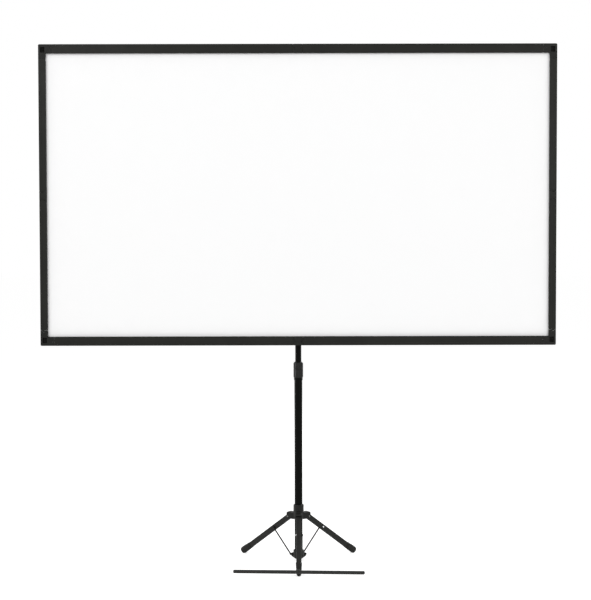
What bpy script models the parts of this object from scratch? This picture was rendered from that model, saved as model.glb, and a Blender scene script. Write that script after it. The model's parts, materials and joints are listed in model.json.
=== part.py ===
"""Portable projection screen: a folding frame with a stretched sheet, on a telescopic tripod mast.

Metres, +Z up, the viewer on the -Y side. The origin is on the floor, under the middle of the object's box.
Everything hangs from an empty on the mast's axis. The frame folds forwards like an umbrella.
"""

from math import cos, hypot, pi, radians, sin, tan

import bmesh
import bpy
from mathutils import Matrix, Vector

# Clearances
GAP = 0.0003
SWING_GAP = 0.001
BURY = 0.0005
OVERSHOOT = 0.002

# Screen frame
OPENING_WIDTH = 1.771
OPENING_HEIGHT = 0.996
SIDE_RAIL_WIDTH = 0.0255
LONG_RAIL_WIDTH = 0.032
RAIL_DEPTH = 0.018
RAIL_WALL = 0.002
RAIL_LIP = 0.006
RAIL_GROOVE = 0.0012
RAIL_GROOVE_DEPTH = 0.0006
RAIL_GROOVE_INSET = 0.009
FRAME_FRONT = 0.064
FRAME_BOTTOM = 0.779
SHEET_SETBACK = 0.0106
SHEET_THICKNESS = 0.0006
SHEET_TUCK = 0.003
SHEET_POCKET = 0.0042

# Frame hinges
PIN_RADIUS = 0.0013
PIN_DEPTH = 0.003
TONGUE_THICKNESS = 0.008
MITRE = radians(43)
STOP_PLATE = 0.001
STOP_LAP = 0.005
PLUG_LENGTH = 0.012
CORNER_REACH = 0.020
LINK_HALF = 0.014
CORNER_POCKET_WIDTH = 0.015
CORNER_POCKET_HEIGHT = 0.019
CORNER_POCKET_DEPTH = 0.008
CORNER_POCKET_INSET = 0.003
GUSSET_THICKNESS = 0.004
GUSSET_WIDTH = 0.014

# Diagonal arms and hub
ARM_WIDTH = 0.014
ARM_WALL = 0.0015
ARM_PLANE = 0.033
ARM_TONGUE = 0.0064
ARM_NOSE = 0.0068
ARM_PIN_RADIUS = 0.002
ARM_CHEEK = 0.0033
ARM_PIN_HEAD = 0.0012
ARM_PIN_HEAD_RADIUS = 0.0032
HUB_PLATE = 0.052
HUB_PLATE_THICKNESS = 0.010
HUB_SOCKET_RADIUS = 0.0165
HUB_SOCKET_LENGTH = 0.066
HUB_CAP = 0.004
HUB_TOP = 0.014
HUB_ARM_GAP = 0.002

# Mast
OUTER_TUBE_RADIUS = 0.01425
INNER_TUBE_RADIUS = 0.011
TUBE_WALL = 0.0015
OUTER_TUBE_TOP = 0.690
INNER_TUBE_FOOT = 0.450
BUSH_LENGTH = 0.030
LOCK_BOTTOM = 0.650
LOCK_SKIRT = 0.010
LOCK_TOP = 0.716
LOCK_RADIUS = 0.01725
LOCK_SKIRT_RADIUS = 0.0157
LOCK_RIB_DEPTH = 0.0009
LOCK_RIBS = 12
LOCK_CHAMFER = 0.004
LOCK_ROOF = 0.0025
COLLET_WALL = 0.0021
COLLET_SLOT = 0.002
COLLET_SLOTS = 4

# Spider
LEG_PIVOT_REACH = 0.0382
SPIDER_RISE = 0.045
SPIDER_SLEEVE_RADIUS = 0.01875
SPIDER_EAR_RISE = 0.0167
SPIDER_EAR_NOSE = 0.008
SPIDER_CHEEK = 0.0035
SPIDER_SLOT_INSET = 0.0015
EDGE_ROUND = 0.0015

# Legs, feet and braces
LEG_WIDTH = 0.018
LEG_DEPTH = 0.0155
LEG_WALL = 0.0015
LEG_SLOPE = radians(36.8)
LEG_LENGTH = 0.236
LEG_PIN_RADIUS = 0.0025
FOOT_SLEEVE = 0.030
FOOT_TIP = 0.014
FOOT_FLAT = 0.00386
FOOT_RADIUS = 0.013
FOOT_NECK_RADIUS = 0.0127
FOOT_ROUND = 0.002
BRACE_ON_LEG = 0.0755
BRACE_WIRE_RADIUS = 0.0021
BRACE_EYE_RADIUS = 0.0042
BRACE_EYE_THICKNESS = 0.0046
BRACE_PIN_RADIUS = 0.0015
RIVET_RADIUS = 0.0018
BRACE_FOOT_REACH = 0.0265
BRACE_FOOT_HEIGHT = 0.021
RIVET_HEAD_RADIUS = 0.0034
RIVET_HEAD = 0.0018
COLLAR_RADIUS = 0.019
COLLAR_BOTTOM = 0.006
COLLAR_TOP = 0.037
COLLAR_FLOOR = 0.003
COLLAR_TAPER = 0.006
COLLAR_EAR_INNER = 0.003
COLLAR_EAR_NOSE = 0.004

# Stabilizer bar
BAR_LENGTH = 0.440
BAR_RADIUS = 0.0062
BAR_WALL = 0.0012
BAR_PAST_LEG = 0.019
BAR_SKEW = radians(-0.9)
BAR_PIVOT_RADIUS = 0.0025
BAR_PIVOT_HEAD_RADIUS = 0.006
BAR_PIVOT_HEAD = 0.003
BAR_PIVOT_DEPTH = 0.008
BAR_CAP_PLUG = 0.010
BAR_CAP_LIP = 0.005
FRONT_FOOT_TIP = 0.028
FRONT_FOOT_WIDTH = 0.0232
FRONT_FOOT_NOSE_WIDTH = 0.0165
FRONT_FOOT_WALL = 0.0022

# Clamp knobs
KNOB_RADIUS = 0.012
KNOB_LENGTH = 0.012
KNOB_LOBES = 6
KNOB_LOBE_DEPTH = 0.0016
KNOB_NECK_RADIUS = 0.006
KNOB_NECK = 0.004
KNOB_SCREW_RADIUS = 0.003
KNOB_BOSS_RADIUS = 0.0065
KNOB_BOSS_REACH = 0.0255
SPIDER_KNOB_DROP = 0.011
HUB_KNOB_DROP = 0.034

# Roundness of turned pieces
TUBE_SIDES = 24
PIN_SIDES = 10
WIRE_SIDES = 8
NOSE_STEPS = 5
ROUND_STEPS = 4
LOBE_STEPS = 3
SHARP_ANGLE = radians(35)
WELD = 0.00001

# Sizes that follow from those above
TONGUE_NOSE = PIN_DEPTH - GAP
RAIL_SETBACK = PIN_DEPTH + GAP
ARM_SETBACK = ARM_WIDTH / 2 + SWING_GAP
HALF_WIDTH = OPENING_WIDTH / 2
HALF_HEIGHT = OPENING_HEIGHT / 2
CORNER_PIN_X = HALF_WIDTH - CORNER_REACH
CORNER_PIN_Z = HALF_HEIGHT - CORNER_REACH
LONG_SPAN = CORNER_PIN_X - LINK_HALF
SIDE_SPAN = CORNER_PIN_Z - LINK_HALF
ARM_LENGTH = hypot(LONG_SPAN, SIDE_SPAN)
SCREEN_HEIGHT = FRAME_BOTTOM + LONG_RAIL_WIDTH + HALF_HEIGHT
RAIL_FRONT_Y = -FRAME_FRONT
RAIL_PIN_Y = RAIL_FRONT_Y + PIN_DEPTH
RAIL_REAR_Y = RAIL_FRONT_Y + RAIL_DEPTH
ARM_PLANE_Y = -ARM_PLANE
SLEEVE_BORE = OUTER_TUBE_RADIUS + GAP
LEG_NOSE = LEG_DEPTH / 2
FOOT_START = LEG_LENGTH - FOOT_SLEEVE
FOOT_END = LEG_LENGTH + FOOT_TIP
FRONT_FOOT_END = LEG_LENGTH + FRONT_FOOT_TIP
BAR_ON_LEG = LEG_LENGTH + BAR_PAST_LEG
LEG_PIVOT_HEIGHT = FOOT_END * sin(LEG_SLOPE) + FOOT_RADIUS * cos(LEG_SLOPE) - FOOT_FLAT
SPIDER_TOP = LEG_PIVOT_HEIGHT + SPIDER_RISE
SPIDER_EAR_TOP = LEG_PIVOT_HEIGHT + SPIDER_EAR_RISE
BRACE_EYE_START = LEG_WIDTH / 2 + GAP
FRONT_FOOT_TOP = LEG_NOSE + FRONT_FOOT_WALL
BAR_OFFSET = FRONT_FOOT_TOP + GAP + BAR_RADIUS
LEG_ALONG = Vector((cos(LEG_SLOPE), 0.0, -sin(LEG_SLOPE)))
LEG_OUTER = Vector((sin(LEG_SLOPE), 0.0, cos(LEG_SLOPE)))
ACROSS = Vector((0.0, 1.0, 0.0))
LEG_PIVOT = Vector((LEG_PIVOT_REACH, 0.0, LEG_PIVOT_HEIGHT))
BRACE_FOOT = Vector((BRACE_FOOT_REACH, 0.0, BRACE_FOOT_HEIGHT))
LEG_AZIMUTHS = {"front": -pi / 2, "right": pi / 6, "left": 5 * pi / 6}
BAR_REACH = (LEG_PIVOT + BAR_ON_LEG * LEG_ALONG + BAR_OFFSET * LEG_OUTER).x + BAR_RADIUS + GAP
FRONT_REACH = BAR_REACH + (BAR_LENGTH + BAR_CAP_LIP) / 2 * sin(abs(BAR_SKEW)) * LEG_ALONG.x
REAR_FOOT = (LEG_PIVOT + FOOT_END * LEG_ALONG).x
REAR_REACH = REAR_FOOT * sin(LEG_AZIMUTHS["right"]) + FOOT_RADIUS * cos(LEG_AZIMUTHS["right"])
MAST_Y = (FRONT_REACH - REAR_REACH) / 2

PART_NAME = "portable_projection_screen"

for old in list(bpy.data.objects):
    bpy.data.objects.remove(old, do_unlink=True)
parts = bpy.data.collections.new(PART_NAME)
bpy.context.scene.collection.children.link(parts)
root = bpy.data.objects.new("mast_axis", None)
root.location = (0.0, MAST_Y, 0.0)
parts.objects.link(root)


def finish(name, colour, roughness, metallic):
    """A plain Principled material."""
    material = bpy.data.materials.new(name)
    material.use_nodes = True
    shader = material.node_tree.nodes["Principled BSDF"]
    shader.inputs["Base Color"].default_value = (*colour, 1.0)
    shader.inputs["Roughness"].default_value = roughness
    shader.inputs["Metallic"].default_value = metallic
    return material


RAIL_PAINT = finish("rail_paint", (0.030, 0.031, 0.027), 0.45, 0.3)
JOINT_PLASTIC = finish("joint_plastic", (0.022, 0.022, 0.020), 0.55, 0.0)
MAST_PAINT = finish("mast_paint", (0.009, 0.010, 0.008), 0.35, 0.3)
LEG_PAINT = finish("leg_paint", (0.032, 0.033, 0.030), 0.45, 0.3)
GRIP_PLASTIC = finish("grip_plastic", (0.045, 0.047, 0.043), 0.5, 0.0)
ZINC = finish("zinc_rivet", (0.75, 0.76, 0.76), 0.25, 1.0)
WIRE = finish("brace_wire", (0.35, 0.35, 0.34), 0.35, 1.0)
RUBBER = finish("foot_rubber", (0.028, 0.028, 0.026), 0.8, 0.0)
INNER_NYLON = finish("inner_nylon", (0.55, 0.55, 0.52), 0.5, 0.0)
SHEET_WHITE = finish("sheet_white", (0.93, 0.93, 0.93), 0.9, 0.0)


def basis(origin, x_axis, y_axis, z_axis):
    """The matrix that puts a local shape's axes along the given directions."""
    columns = [Vector(axis).to_4d() for axis in (x_axis, y_axis, z_axis)]
    for column in columns:
        column.w = 0.0
    return Matrix((*columns, Vector(origin).to_4d())).transposed()


def mesh_object(mesh, matrix=None):
    """A loose object for a mesh, moved by a matrix that may also mirror it."""
    if matrix is not None:
        mesh.transform(matrix)
        if matrix.determinant() < 0:
            mesh.flip_normals()
    obj = bpy.data.objects.new("shape", mesh)
    bpy.context.scene.collection.objects.link(obj)
    return obj


def box(low, high, matrix=None):
    """A block between two corners."""
    low, high = Vector(low), Vector(high)
    mesh = bpy.data.meshes.new("box")
    work = bmesh.new()
    bmesh.ops.create_cube(work, size=1.0)
    bmesh.ops.scale(work, vec=high - low, verts=work.verts)
    bmesh.ops.translate(work, vec=(low + high) / 2, verts=work.verts)
    work.to_mesh(mesh)
    work.free()
    return mesh_object(mesh, matrix)


def rod(start, end, radius, sides=PIN_SIDES, end_radius=None):
    """A cylinder or cone between two points."""
    start, end = Vector(start), Vector(end)
    mesh = bpy.data.meshes.new("rod")
    work = bmesh.new()
    bmesh.ops.create_cone(
        work,
        cap_ends=True,
        segments=sides,
        radius1=radius,
        radius2=radius if end_radius is None else end_radius,
        depth=(end - start).length,
    )
    work.to_mesh(mesh)
    work.free()
    turn = (end - start).to_track_quat("Z", "X").to_matrix().to_4x4()
    return mesh_object(mesh, Matrix.Translation((start + end) / 2) @ turn)


def plate(outline, low, high, matrix=None):
    """A flat outline in local X and Y, from low to high along local Z."""
    curve = bpy.data.curves.new("outline", "CURVE")
    curve.dimensions = "2D"
    curve.fill_mode = "BOTH"
    curve.extrude = (high - low) / 2
    spline = curve.splines.new("POLY")
    spline.points.add(len(outline) - 1)
    for point, (x, y) in zip(spline.points, outline):
        point.co = (x, y, 0.0, 1.0)
    spline.use_cyclic_u = True
    drawn = bpy.data.objects.new("outline", curve)
    bpy.context.scene.collection.objects.link(drawn)
    graph = bpy.context.evaluated_depsgraph_get()
    mesh = bpy.data.meshes.new_from_object(drawn.evaluated_get(graph))
    bpy.data.objects.remove(drawn)
    work = bmesh.new()
    work.from_mesh(mesh)
    bmesh.ops.remove_doubles(work, verts=work.verts, dist=WELD)
    bmesh.ops.translate(work, vec=(0.0, 0.0, (low + high) / 2), verts=work.verts)
    bmesh.ops.recalc_face_normals(work, faces=work.faces)
    work.to_mesh(mesh)
    work.free()
    return mesh_object(mesh, matrix)


def turned(profile, sides=TUBE_SIDES, matrix=None):
    """A profile of (radius, height) points, down the outside and up the inside, turned about Z."""
    mesh = bpy.data.meshes.new("profile")
    points = [(radius, 0.0, height) for radius, height in profile]
    edges = [(i, (i + 1) % len(points)) for i in range(len(points))]
    mesh.from_pydata(points, edges, [])
    drawn = bpy.data.objects.new("profile", mesh)
    bpy.context.scene.collection.objects.link(drawn)
    screw = drawn.modifiers.new("turn", "SCREW")
    screw.steps = sides
    screw.render_steps = sides
    screw.use_merge_vertices = True
    screw.merge_threshold = WELD
    graph = bpy.context.evaluated_depsgraph_get()
    solid = bpy.data.meshes.new_from_object(drawn.evaluated_get(graph))
    bpy.data.objects.remove(drawn)
    work = bmesh.new()
    work.from_mesh(solid)
    bmesh.ops.recalc_face_normals(work, faces=work.faces)
    work.to_mesh(solid)
    work.free()
    return mesh_object(solid, matrix)


def combine(base, others, operation):
    """Join or cut shapes into one mesh, and remove the shapes that were used."""
    for other in others:
        modifier = base.modifiers.new(operation.lower(), "BOOLEAN")
        modifier.operation = operation
        modifier.solver = "EXACT"
        modifier.object = other
    graph = bpy.context.evaluated_depsgraph_get()
    mesh = bpy.data.meshes.new_from_object(base.evaluated_get(graph))
    bpy.data.objects.remove(base)
    for other in others:
        bpy.data.objects.remove(other)
    return mesh_object(mesh)


def join(base, *others):
    return combine(base, others, "UNION")


def cut(base, *others):
    return combine(base, others, "DIFFERENCE")


def node(name, shape, material, origin=(0.0, 0.0, 0.0), matrix=None):
    """Name a shape as a piece of the object, with its own origin, hung from the mast's axis."""
    mesh = shape.data
    if matrix is not None:
        mesh = mesh.copy()
        mesh.transform(matrix)
        if matrix.determinant() < 0:
            mesh.flip_normals()
    mesh.transform(Matrix.Translation(-Vector(origin)))
    mesh.name = name
    mesh.materials.clear()
    mesh.materials.append(material)
    mesh.shade_smooth()
    mesh.set_sharp_from_angle(angle=SHARP_ANGLE)
    piece = bpy.data.objects.new(name, mesh)
    piece.location = origin
    piece.parent = root
    parts.objects.link(piece)
    if matrix is None:
        bpy.data.objects.remove(shape)
    return piece


def arc(centre, radius, start, end, steps=NOSE_STEPS):
    """Points on a circle from one angle to another."""
    angles = [start + (end - start) * i / steps for i in range(steps + 1)]
    return [(centre[0] + radius * cos(a), centre[1] + radius * sin(a)) for a in angles]


def lobed(radius, depth, lobes):
    """A round outline with shallow flutes."""
    count = lobes * LOBE_STEPS
    outline = []
    for i in range(count):
        angle = 2 * pi * i / count
        reach = radius - depth * (0.5 - 0.5 * cos(lobes * angle))
        outline.append((reach * cos(angle), reach * sin(angle)))
    return outline


def tube_profile(outer, inner, bottom, top):
    return [(outer, top), (outer, bottom), (inner, bottom), (inner, top)]


# Mast, in coordinates from the mast's axis
tube_foot = COLLAR_BOTTOM + COLLAR_FLOOR + GAP
tube_bore = OUTER_TUBE_RADIUS - TUBE_WALL
inner_top = SCREEN_HEIGHT + HUB_TOP - HUB_CAP - GAP
node(
    "mast_outer_tube",
    turned(tube_profile(OUTER_TUBE_RADIUS, tube_bore, tube_foot, OUTER_TUBE_TOP)),
    MAST_PAINT,
)
node(
    "mast_inner_tube",
    turned(tube_profile(INNER_TUBE_RADIUS, INNER_TUBE_RADIUS - TUBE_WALL, INNER_TUBE_FOOT, inner_top)),
    MAST_PAINT,
)
bush = tube_profile(
    tube_bore - GAP,
    INNER_TUBE_RADIUS + GAP,
    INNER_TUBE_FOOT + GAP,
    INNER_TUBE_FOOT + BUSH_LENGTH,
)
node("mast_guide_bush", turned(bush), INNER_NYLON)

# Twist lock: a split collet squeezed by a ribbed collar
collet_inner = INNER_TUBE_RADIUS + GAP
collet_outer = collet_inner + COLLET_WALL
collet_bottom = OUTER_TUBE_TOP + GAP
collet_top = LOCK_TOP - LOCK_ROOF - GAP
collet_slots = []
for turn in range(COLLET_SLOTS):
    slot = box(
        (0.0, -COLLET_SLOT / 2, (collet_bottom + collet_top) / 2),
        (collet_outer + OVERSHOOT, COLLET_SLOT / 2, collet_top + OVERSHOOT),
        Matrix.Rotation(turn * 2 * pi / COLLET_SLOTS, 4, "Z"),
    )
    collet_slots.append(slot)
collet = turned(tube_profile(collet_outer, collet_inner, collet_bottom, collet_top))
node("lock_collet", cut(collet, *collet_slots), INNER_NYLON)

grip = plate(
    lobed(LOCK_RADIUS, LOCK_RIB_DEPTH, LOCK_RIBS),
    LOCK_BOTTOM + LOCK_SKIRT,
    LOCK_TOP - LOCK_CHAMFER,
)
crown = rod(
    (0.0, 0.0, LOCK_TOP - LOCK_CHAMFER - BURY),
    (0.0, 0.0, LOCK_TOP),
    LOCK_RADIUS - LOCK_RIB_DEPTH,
    TUBE_SIDES,
    LOCK_RADIUS - LOCK_CHAMFER,
)
skirt = rod(
    (0.0, 0.0, LOCK_BOTTOM),
    (0.0, 0.0, LOCK_BOTTOM + LOCK_SKIRT + BURY),
    LOCK_SKIRT_RADIUS,
    TUBE_SIDES,
)
lock_bore = turned(
    [
        (0.0, LOCK_TOP + OVERSHOOT),
        (INNER_TUBE_RADIUS + GAP, LOCK_TOP + OVERSHOOT),
        (INNER_TUBE_RADIUS + GAP, LOCK_TOP - LOCK_ROOF),
        (collet_outer + GAP, LOCK_TOP - LOCK_ROOF),
        (collet_outer + GAP, OUTER_TUBE_TOP + GAP),
        (SLEEVE_BORE, OUTER_TUBE_TOP + GAP),
        (SLEEVE_BORE, LOCK_BOTTOM - OVERSHOOT),
        (0.0, LOCK_BOTTOM - OVERSHOOT),
    ]
)
node("height_lock_collar", cut(join(grip, crown, skirt), lock_bore), GRIP_PLASTIC)


def leg_frame(azimuth):
    """From the plane of a leg (X outwards, Y across) to its place round the mast."""
    return Matrix.Rotation(azimuth, 4, "Z")


ON_LEG = basis(LEG_PIVOT, LEG_ALONG, ACROSS, LEG_OUTER)
SIDE_PLANE = basis((0.0, 0.0, 0.0), (1.0, 0.0, 0.0), (0.0, 0.0, 1.0), (0.0, -1.0, 0.0))
LEG_SIDE = basis(LEG_PIVOT, LEG_ALONG, LEG_OUTER, -ACROSS)


def knob(name, tip, height):
    """A lobed clamp knob behind the mast, its screw pointing at the tube."""
    reach = KNOB_BOSS_REACH + GAP
    out = basis((0.0, 0.0, height), (-1.0, 0.0, 0.0), (0.0, 0.0, 1.0), (0.0, 1.0, 0.0))
    head_start = reach + KNOB_NECK
    head = plate(lobed(KNOB_RADIUS, KNOB_LOBE_DEPTH, KNOB_LOBES), head_start, head_start + KNOB_LENGTH, out)
    neck = rod((0.0, reach, height), (0.0, head_start + BURY, height), KNOB_NECK_RADIUS)
    screw = rod((0.0, tip, height), (0.0, reach + BURY, height), KNOB_SCREW_RADIUS)
    node(name, join(head, neck, screw), GRIP_PLASTIC, (0.0, reach, height))


def clamp_boss(sleeve, height, bore):
    """A sleeve with a boss for its clamp screw, bored for the tube, at the back."""
    sleeve = join(sleeve, rod((0.0, bore + BURY, height), (0.0, KNOB_BOSS_REACH, height), KNOB_BOSS_RADIUS))
    hole = rod((0.0, 0.0, height), (0.0, KNOB_BOSS_REACH + OVERSHOOT, height), KNOB_SCREW_RADIUS + GAP)
    return cut(sleeve, hole)


# Leg spider, a sleeve with three clevises
ear_root = (SLEEVE_BORE + SPIDER_SLEEVE_RADIUS) / 2
ear_end = LEG_PIVOT_REACH + SPIDER_EAR_NOSE
ear_bottom = LEG_PIVOT_HEIGHT - SPIDER_EAR_NOSE
ear_outline = [
    (ear_root, ear_bottom),
    *arc((LEG_PIVOT_REACH, LEG_PIVOT_HEIGHT), SPIDER_EAR_NOSE, -pi / 2, 0.0),
    *arc((ear_end - EDGE_ROUND, SPIDER_EAR_TOP - EDGE_ROUND), EDGE_ROUND, 0.0, pi / 2, ROUND_STEPS),
    (ear_root, SPIDER_EAR_TOP),
]
slot_half = LEG_WIDTH / 2 + GAP
ear_half = slot_half + SPIDER_CHEEK
slot_roof = LEG_PIVOT_HEIGHT + LEG_NOSE + SWING_GAP
spider = turned(
    [
        (SPIDER_SLEEVE_RADIUS - EDGE_ROUND, SPIDER_TOP),
        (SPIDER_SLEEVE_RADIUS, SPIDER_TOP - EDGE_ROUND),
        (SPIDER_SLEEVE_RADIUS, ear_bottom + BURY),
        (SLEEVE_BORE, ear_bottom + BURY),
        (SLEEVE_BORE, SPIDER_TOP),
    ]
)
ears, slots = [], []
for azimuth in LEG_AZIMUTHS.values():
    place = leg_frame(azimuth)
    ears.append(plate(ear_outline, -ear_half, ear_half, place @ SIDE_PLANE))
    slot_low = (SPIDER_SLEEVE_RADIUS + SPIDER_SLOT_INSET, -slot_half, ear_bottom - OVERSHOOT)
    slots.append(box(slot_low, (ear_end + OVERSHOOT, slot_half, slot_roof), place))
    pin_low = place @ Vector((LEG_PIVOT_REACH, -ear_half - OVERSHOOT, LEG_PIVOT_HEIGHT))
    pin_high = place @ Vector((LEG_PIVOT_REACH, ear_half + OVERSHOOT, LEG_PIVOT_HEIGHT))
    slots.append(rod(pin_low, pin_high, LEG_PIN_RADIUS + GAP))
bore = rod((0.0, 0.0, ear_bottom - OVERSHOOT), (0.0, 0.0, SPIDER_TOP + OVERSHOOT), SLEEVE_BORE, TUBE_SIDES)
spider = cut(join(spider, *ears), bore, *slots)
spider_knob_height = SPIDER_TOP - SPIDER_KNOB_DROP
node("leg_spider", clamp_boss(spider, spider_knob_height, SLEEVE_BORE), JOINT_PLASTIC)
knob("spider_clamp_knob", SLEEVE_BORE, spider_knob_height)

# Brace collar, the cap on the foot of the mast, with an ear and a stud for each brace
eye_end = BRACE_EYE_START + BRACE_EYE_THICKNESS
collar = turned(
    [
        (0.0, COLLAR_TOP),
        (COLLAR_RADIUS, COLLAR_TOP),
        (COLLAR_RADIUS, COLLAR_BOTTOM + COLLAR_TAPER),
        (COLLAR_RADIUS - COLLAR_FLOOR, COLLAR_BOTTOM),
        (0.0, COLLAR_BOTTOM),
    ]
)
collar_ears = []
ear_profile = [
    (OUTER_TUBE_RADIUS, BRACE_FOOT_HEIGHT - COLLAR_EAR_NOSE),
    *arc((BRACE_FOOT_REACH, BRACE_FOOT_HEIGHT), COLLAR_EAR_NOSE, -pi / 2, pi / 2),
    (OUTER_TUBE_RADIUS, BRACE_FOOT_HEIGHT + COLLAR_EAR_NOSE),
]
for azimuth in LEG_AZIMUTHS.values():
    place = leg_frame(azimuth)
    ear_face = BRACE_EYE_START - GAP
    collar_ears.append(plate(ear_profile, -ear_face, -COLLAR_EAR_INNER, place @ SIDE_PLANE))
    stud = [place @ (BRACE_FOOT + ACROSS * t) for t in (COLLAR_EAR_INNER + BURY, eye_end + GAP + BURY)]
    collar_ears.append(rod(*stud, BRACE_PIN_RADIUS))
    head = [place @ (BRACE_FOOT + ACROSS * (eye_end + t)) for t in (GAP, GAP + RIVET_HEAD)]
    collar_ears.append(rod(*head, RIVET_HEAD_RADIUS, PIN_SIDES, BRACE_PIN_RADIUS))
mast_seat = rod(
    (0.0, 0.0, COLLAR_BOTTOM + COLLAR_FLOOR),
    (0.0, 0.0, COLLAR_TOP + OVERSHOOT),
    SLEEVE_BORE,
    TUBE_SIDES,
)
node("brace_collar", cut(join(collar, *collar_ears), mast_seat), JOINT_PLASTIC)

# Legs, in their own axes: X along from the pivot, Y across, Z to the outer face
leg_outline = [
    *arc((0.0, 0.0), LEG_NOSE, pi / 2, 3 * pi / 2),
    (LEG_LENGTH, -LEG_NOSE),
    (LEG_LENGTH, LEG_NOSE),
]
half_inside = LEG_WIDTH / 2 - LEG_WALL
leg_shape = plate(leg_outline, -LEG_WIDTH / 2, LEG_WIDTH / 2, LEG_SIDE)
channel = box(
    (-LEG_NOSE / 2, -half_inside, -LEG_NOSE - OVERSHOOT),
    (LEG_LENGTH + OVERSHOOT, half_inside, LEG_NOSE - LEG_WALL),
    ON_LEG,
)


def across_leg(along, low, high, radius, end_radius=None):
    """A round shape across the leg's width, at a distance along it."""
    ends = [ON_LEG @ Vector((along, t, 0.0)) for t in (low, high)]
    return rod(*ends, radius, end_radius=end_radius)


leg_half = LEG_WIDTH / 2
pivot_hole = across_leg(0.0, -leg_half - OVERSHOOT, leg_half + OVERSHOOT, LEG_PIN_RADIUS + GAP)
brace_hole = across_leg(BRACE_ON_LEG, -leg_half - OVERSHOOT, leg_half + OVERSHOOT, RIVET_RADIUS + GAP)
leg_shape = cut(leg_shape, channel, pivot_hole, brace_hole)

pin_head = ear_half + GAP
leg_pin = join(
    across_leg(0.0, -pin_head - BURY, pin_head + BURY, LEG_PIN_RADIUS),
    across_leg(0.0, -pin_head - RIVET_HEAD, -pin_head, BRACE_PIN_RADIUS, RIVET_HEAD_RADIUS),
    across_leg(0.0, pin_head, pin_head + RIVET_HEAD, RIVET_HEAD_RADIUS, BRACE_PIN_RADIUS),
)
rivet_head = leg_half + GAP
brace_rivet = join(
    across_leg(BRACE_ON_LEG, -rivet_head - BURY, leg_half, RIVET_RADIUS),
    across_leg(BRACE_ON_LEG, -rivet_head - RIVET_HEAD, -rivet_head, RIVET_RADIUS, RIVET_HEAD_RADIUS),
)

# Braces: a wire with an eye at each end, beside the leg
brace_top = LEG_PIVOT + BRACE_ON_LEG * LEG_ALONG
brace_middle = ACROSS * (BRACE_EYE_START + BRACE_EYE_THICKNESS / 2)
wire = rod(BRACE_FOOT + brace_middle, brace_top + brace_middle, BRACE_WIRE_RADIUS, WIRE_SIDES)
eyes = [
    rod(end + ACROSS * BRACE_EYE_START, end + ACROSS * eye_end, BRACE_EYE_RADIUS)
    for end in (BRACE_FOOT, brace_top)
]
eye_dome = rod(
    brace_top + ACROSS * (eye_end - BURY),
    brace_top + ACROSS * (eye_end + RIVET_HEAD),
    RIVET_HEAD_RADIUS,
    PIN_SIDES,
    BRACE_PIN_RADIUS,
)
eye_hole = rod(BRACE_FOOT, BRACE_FOOT + ACROSS * (eye_end + OVERSHOOT), BRACE_PIN_RADIUS + GAP)
brace_shape = cut(join(wire, *eyes, eye_dome), eye_hole)

# Rubber feet, pushed on the legs' ends and flat where they meet the floor
ALONG_LEG = basis(LEG_PIVOT, LEG_OUTER, ACROSS, -LEG_ALONG)
foot_edge = arc((FOOT_RADIUS - FOOT_ROUND, FOOT_END - FOOT_ROUND), FOOT_ROUND, 0.0, pi / 2, ROUND_STEPS)
foot_turned = turned(
    [
        (0.0, -FOOT_START),
        (FOOT_NECK_RADIUS, -FOOT_START),
        (FOOT_RADIUS, -FOOT_START - FOOT_RADIUS),
        *[(r, -z) for r, z in foot_edge],
        (0.0, -FOOT_END),
    ],
    matrix=ALONG_LEG,
)


def leg_socket():
    """The pocket that a leg's end fills."""
    return box(
        (FOOT_START - OVERSHOOT, -leg_half - GAP, -LEG_NOSE - GAP),
        (LEG_LENGTH + GAP, leg_half + GAP, LEG_NOSE + GAP),
        ON_LEG,
    )


def below_floor():
    reach = FRONT_REACH + FOOT_END
    return box((-reach, -reach, -reach), (reach, reach, 0.0))


foot_shape = cut(foot_turned, leg_socket(), below_floor())
for side, azimuth in LEG_AZIMUTHS.items():
    place = leg_frame(azimuth)
    pivot = place @ LEG_PIVOT
    node(f"leg_{side}", leg_shape, LEG_PAINT, pivot, place)
    node(f"leg_pin_{side}", leg_pin, ZINC, pivot, place)
    node(f"brace_rivet_{side}", brace_rivet, ZINC, place @ brace_top, place)
    node(f"brace_{side}", brace_shape, WIRE, place @ BRACE_FOOT, place)
    if side != "front":
        node(f"foot_{side}", foot_shape, RUBBER, place @ (LEG_PIVOT + FOOT_END * LEG_ALONG), place)
for shape in (leg_shape, leg_pin, brace_rivet, brace_shape, foot_shape):
    bpy.data.objects.remove(shape)

# Front foot block, with a seat for the stabilizer bar on its outer face
front = leg_frame(LEG_AZIMUTHS["front"])
half_block = FRONT_FOOT_WIDTH / 2
half_nose = FRONT_FOOT_NOSE_WIDTH / 2
block_outline = [
    (FOOT_START, -half_block),
    (LEG_LENGTH + FRONT_FOOT_WALL, -half_block),
    *arc((FRONT_FOOT_END - half_nose, 0.0), half_nose, -pi / 2, pi / 2, 2 * NOSE_STEPS),
    (LEG_LENGTH + FRONT_FOOT_WALL, half_block),
    (FOOT_START, half_block),
]
block = plate(block_outline, -FRONT_FOOT_TOP, FRONT_FOOT_TOP, ON_LEG)
bar_centre = ON_LEG @ Vector((BAR_ON_LEG, 0.0, BAR_OFFSET))


def along_bar_pivot(low, high, radius, end_radius=None):
    """A round shape on the bar's pivot, at heights from the leg's middle."""
    ends = [ON_LEG @ Vector((BAR_ON_LEG, 0.0, t)) for t in (low, high)]
    return rod(*ends, radius, end_radius=end_radius)


screw_seat = FRONT_FOOT_TOP - BAR_PIVOT_DEPTH
screw_hole = along_bar_pivot(screw_seat, FRONT_FOOT_TOP + OVERSHOOT, BAR_PIVOT_RADIUS + GAP)
block = cut(block, leg_socket(), below_floor(), screw_hole)
node("foot_front", block, RUBBER, front @ bar_centre, front)
bpy.data.objects.remove(block)

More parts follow.
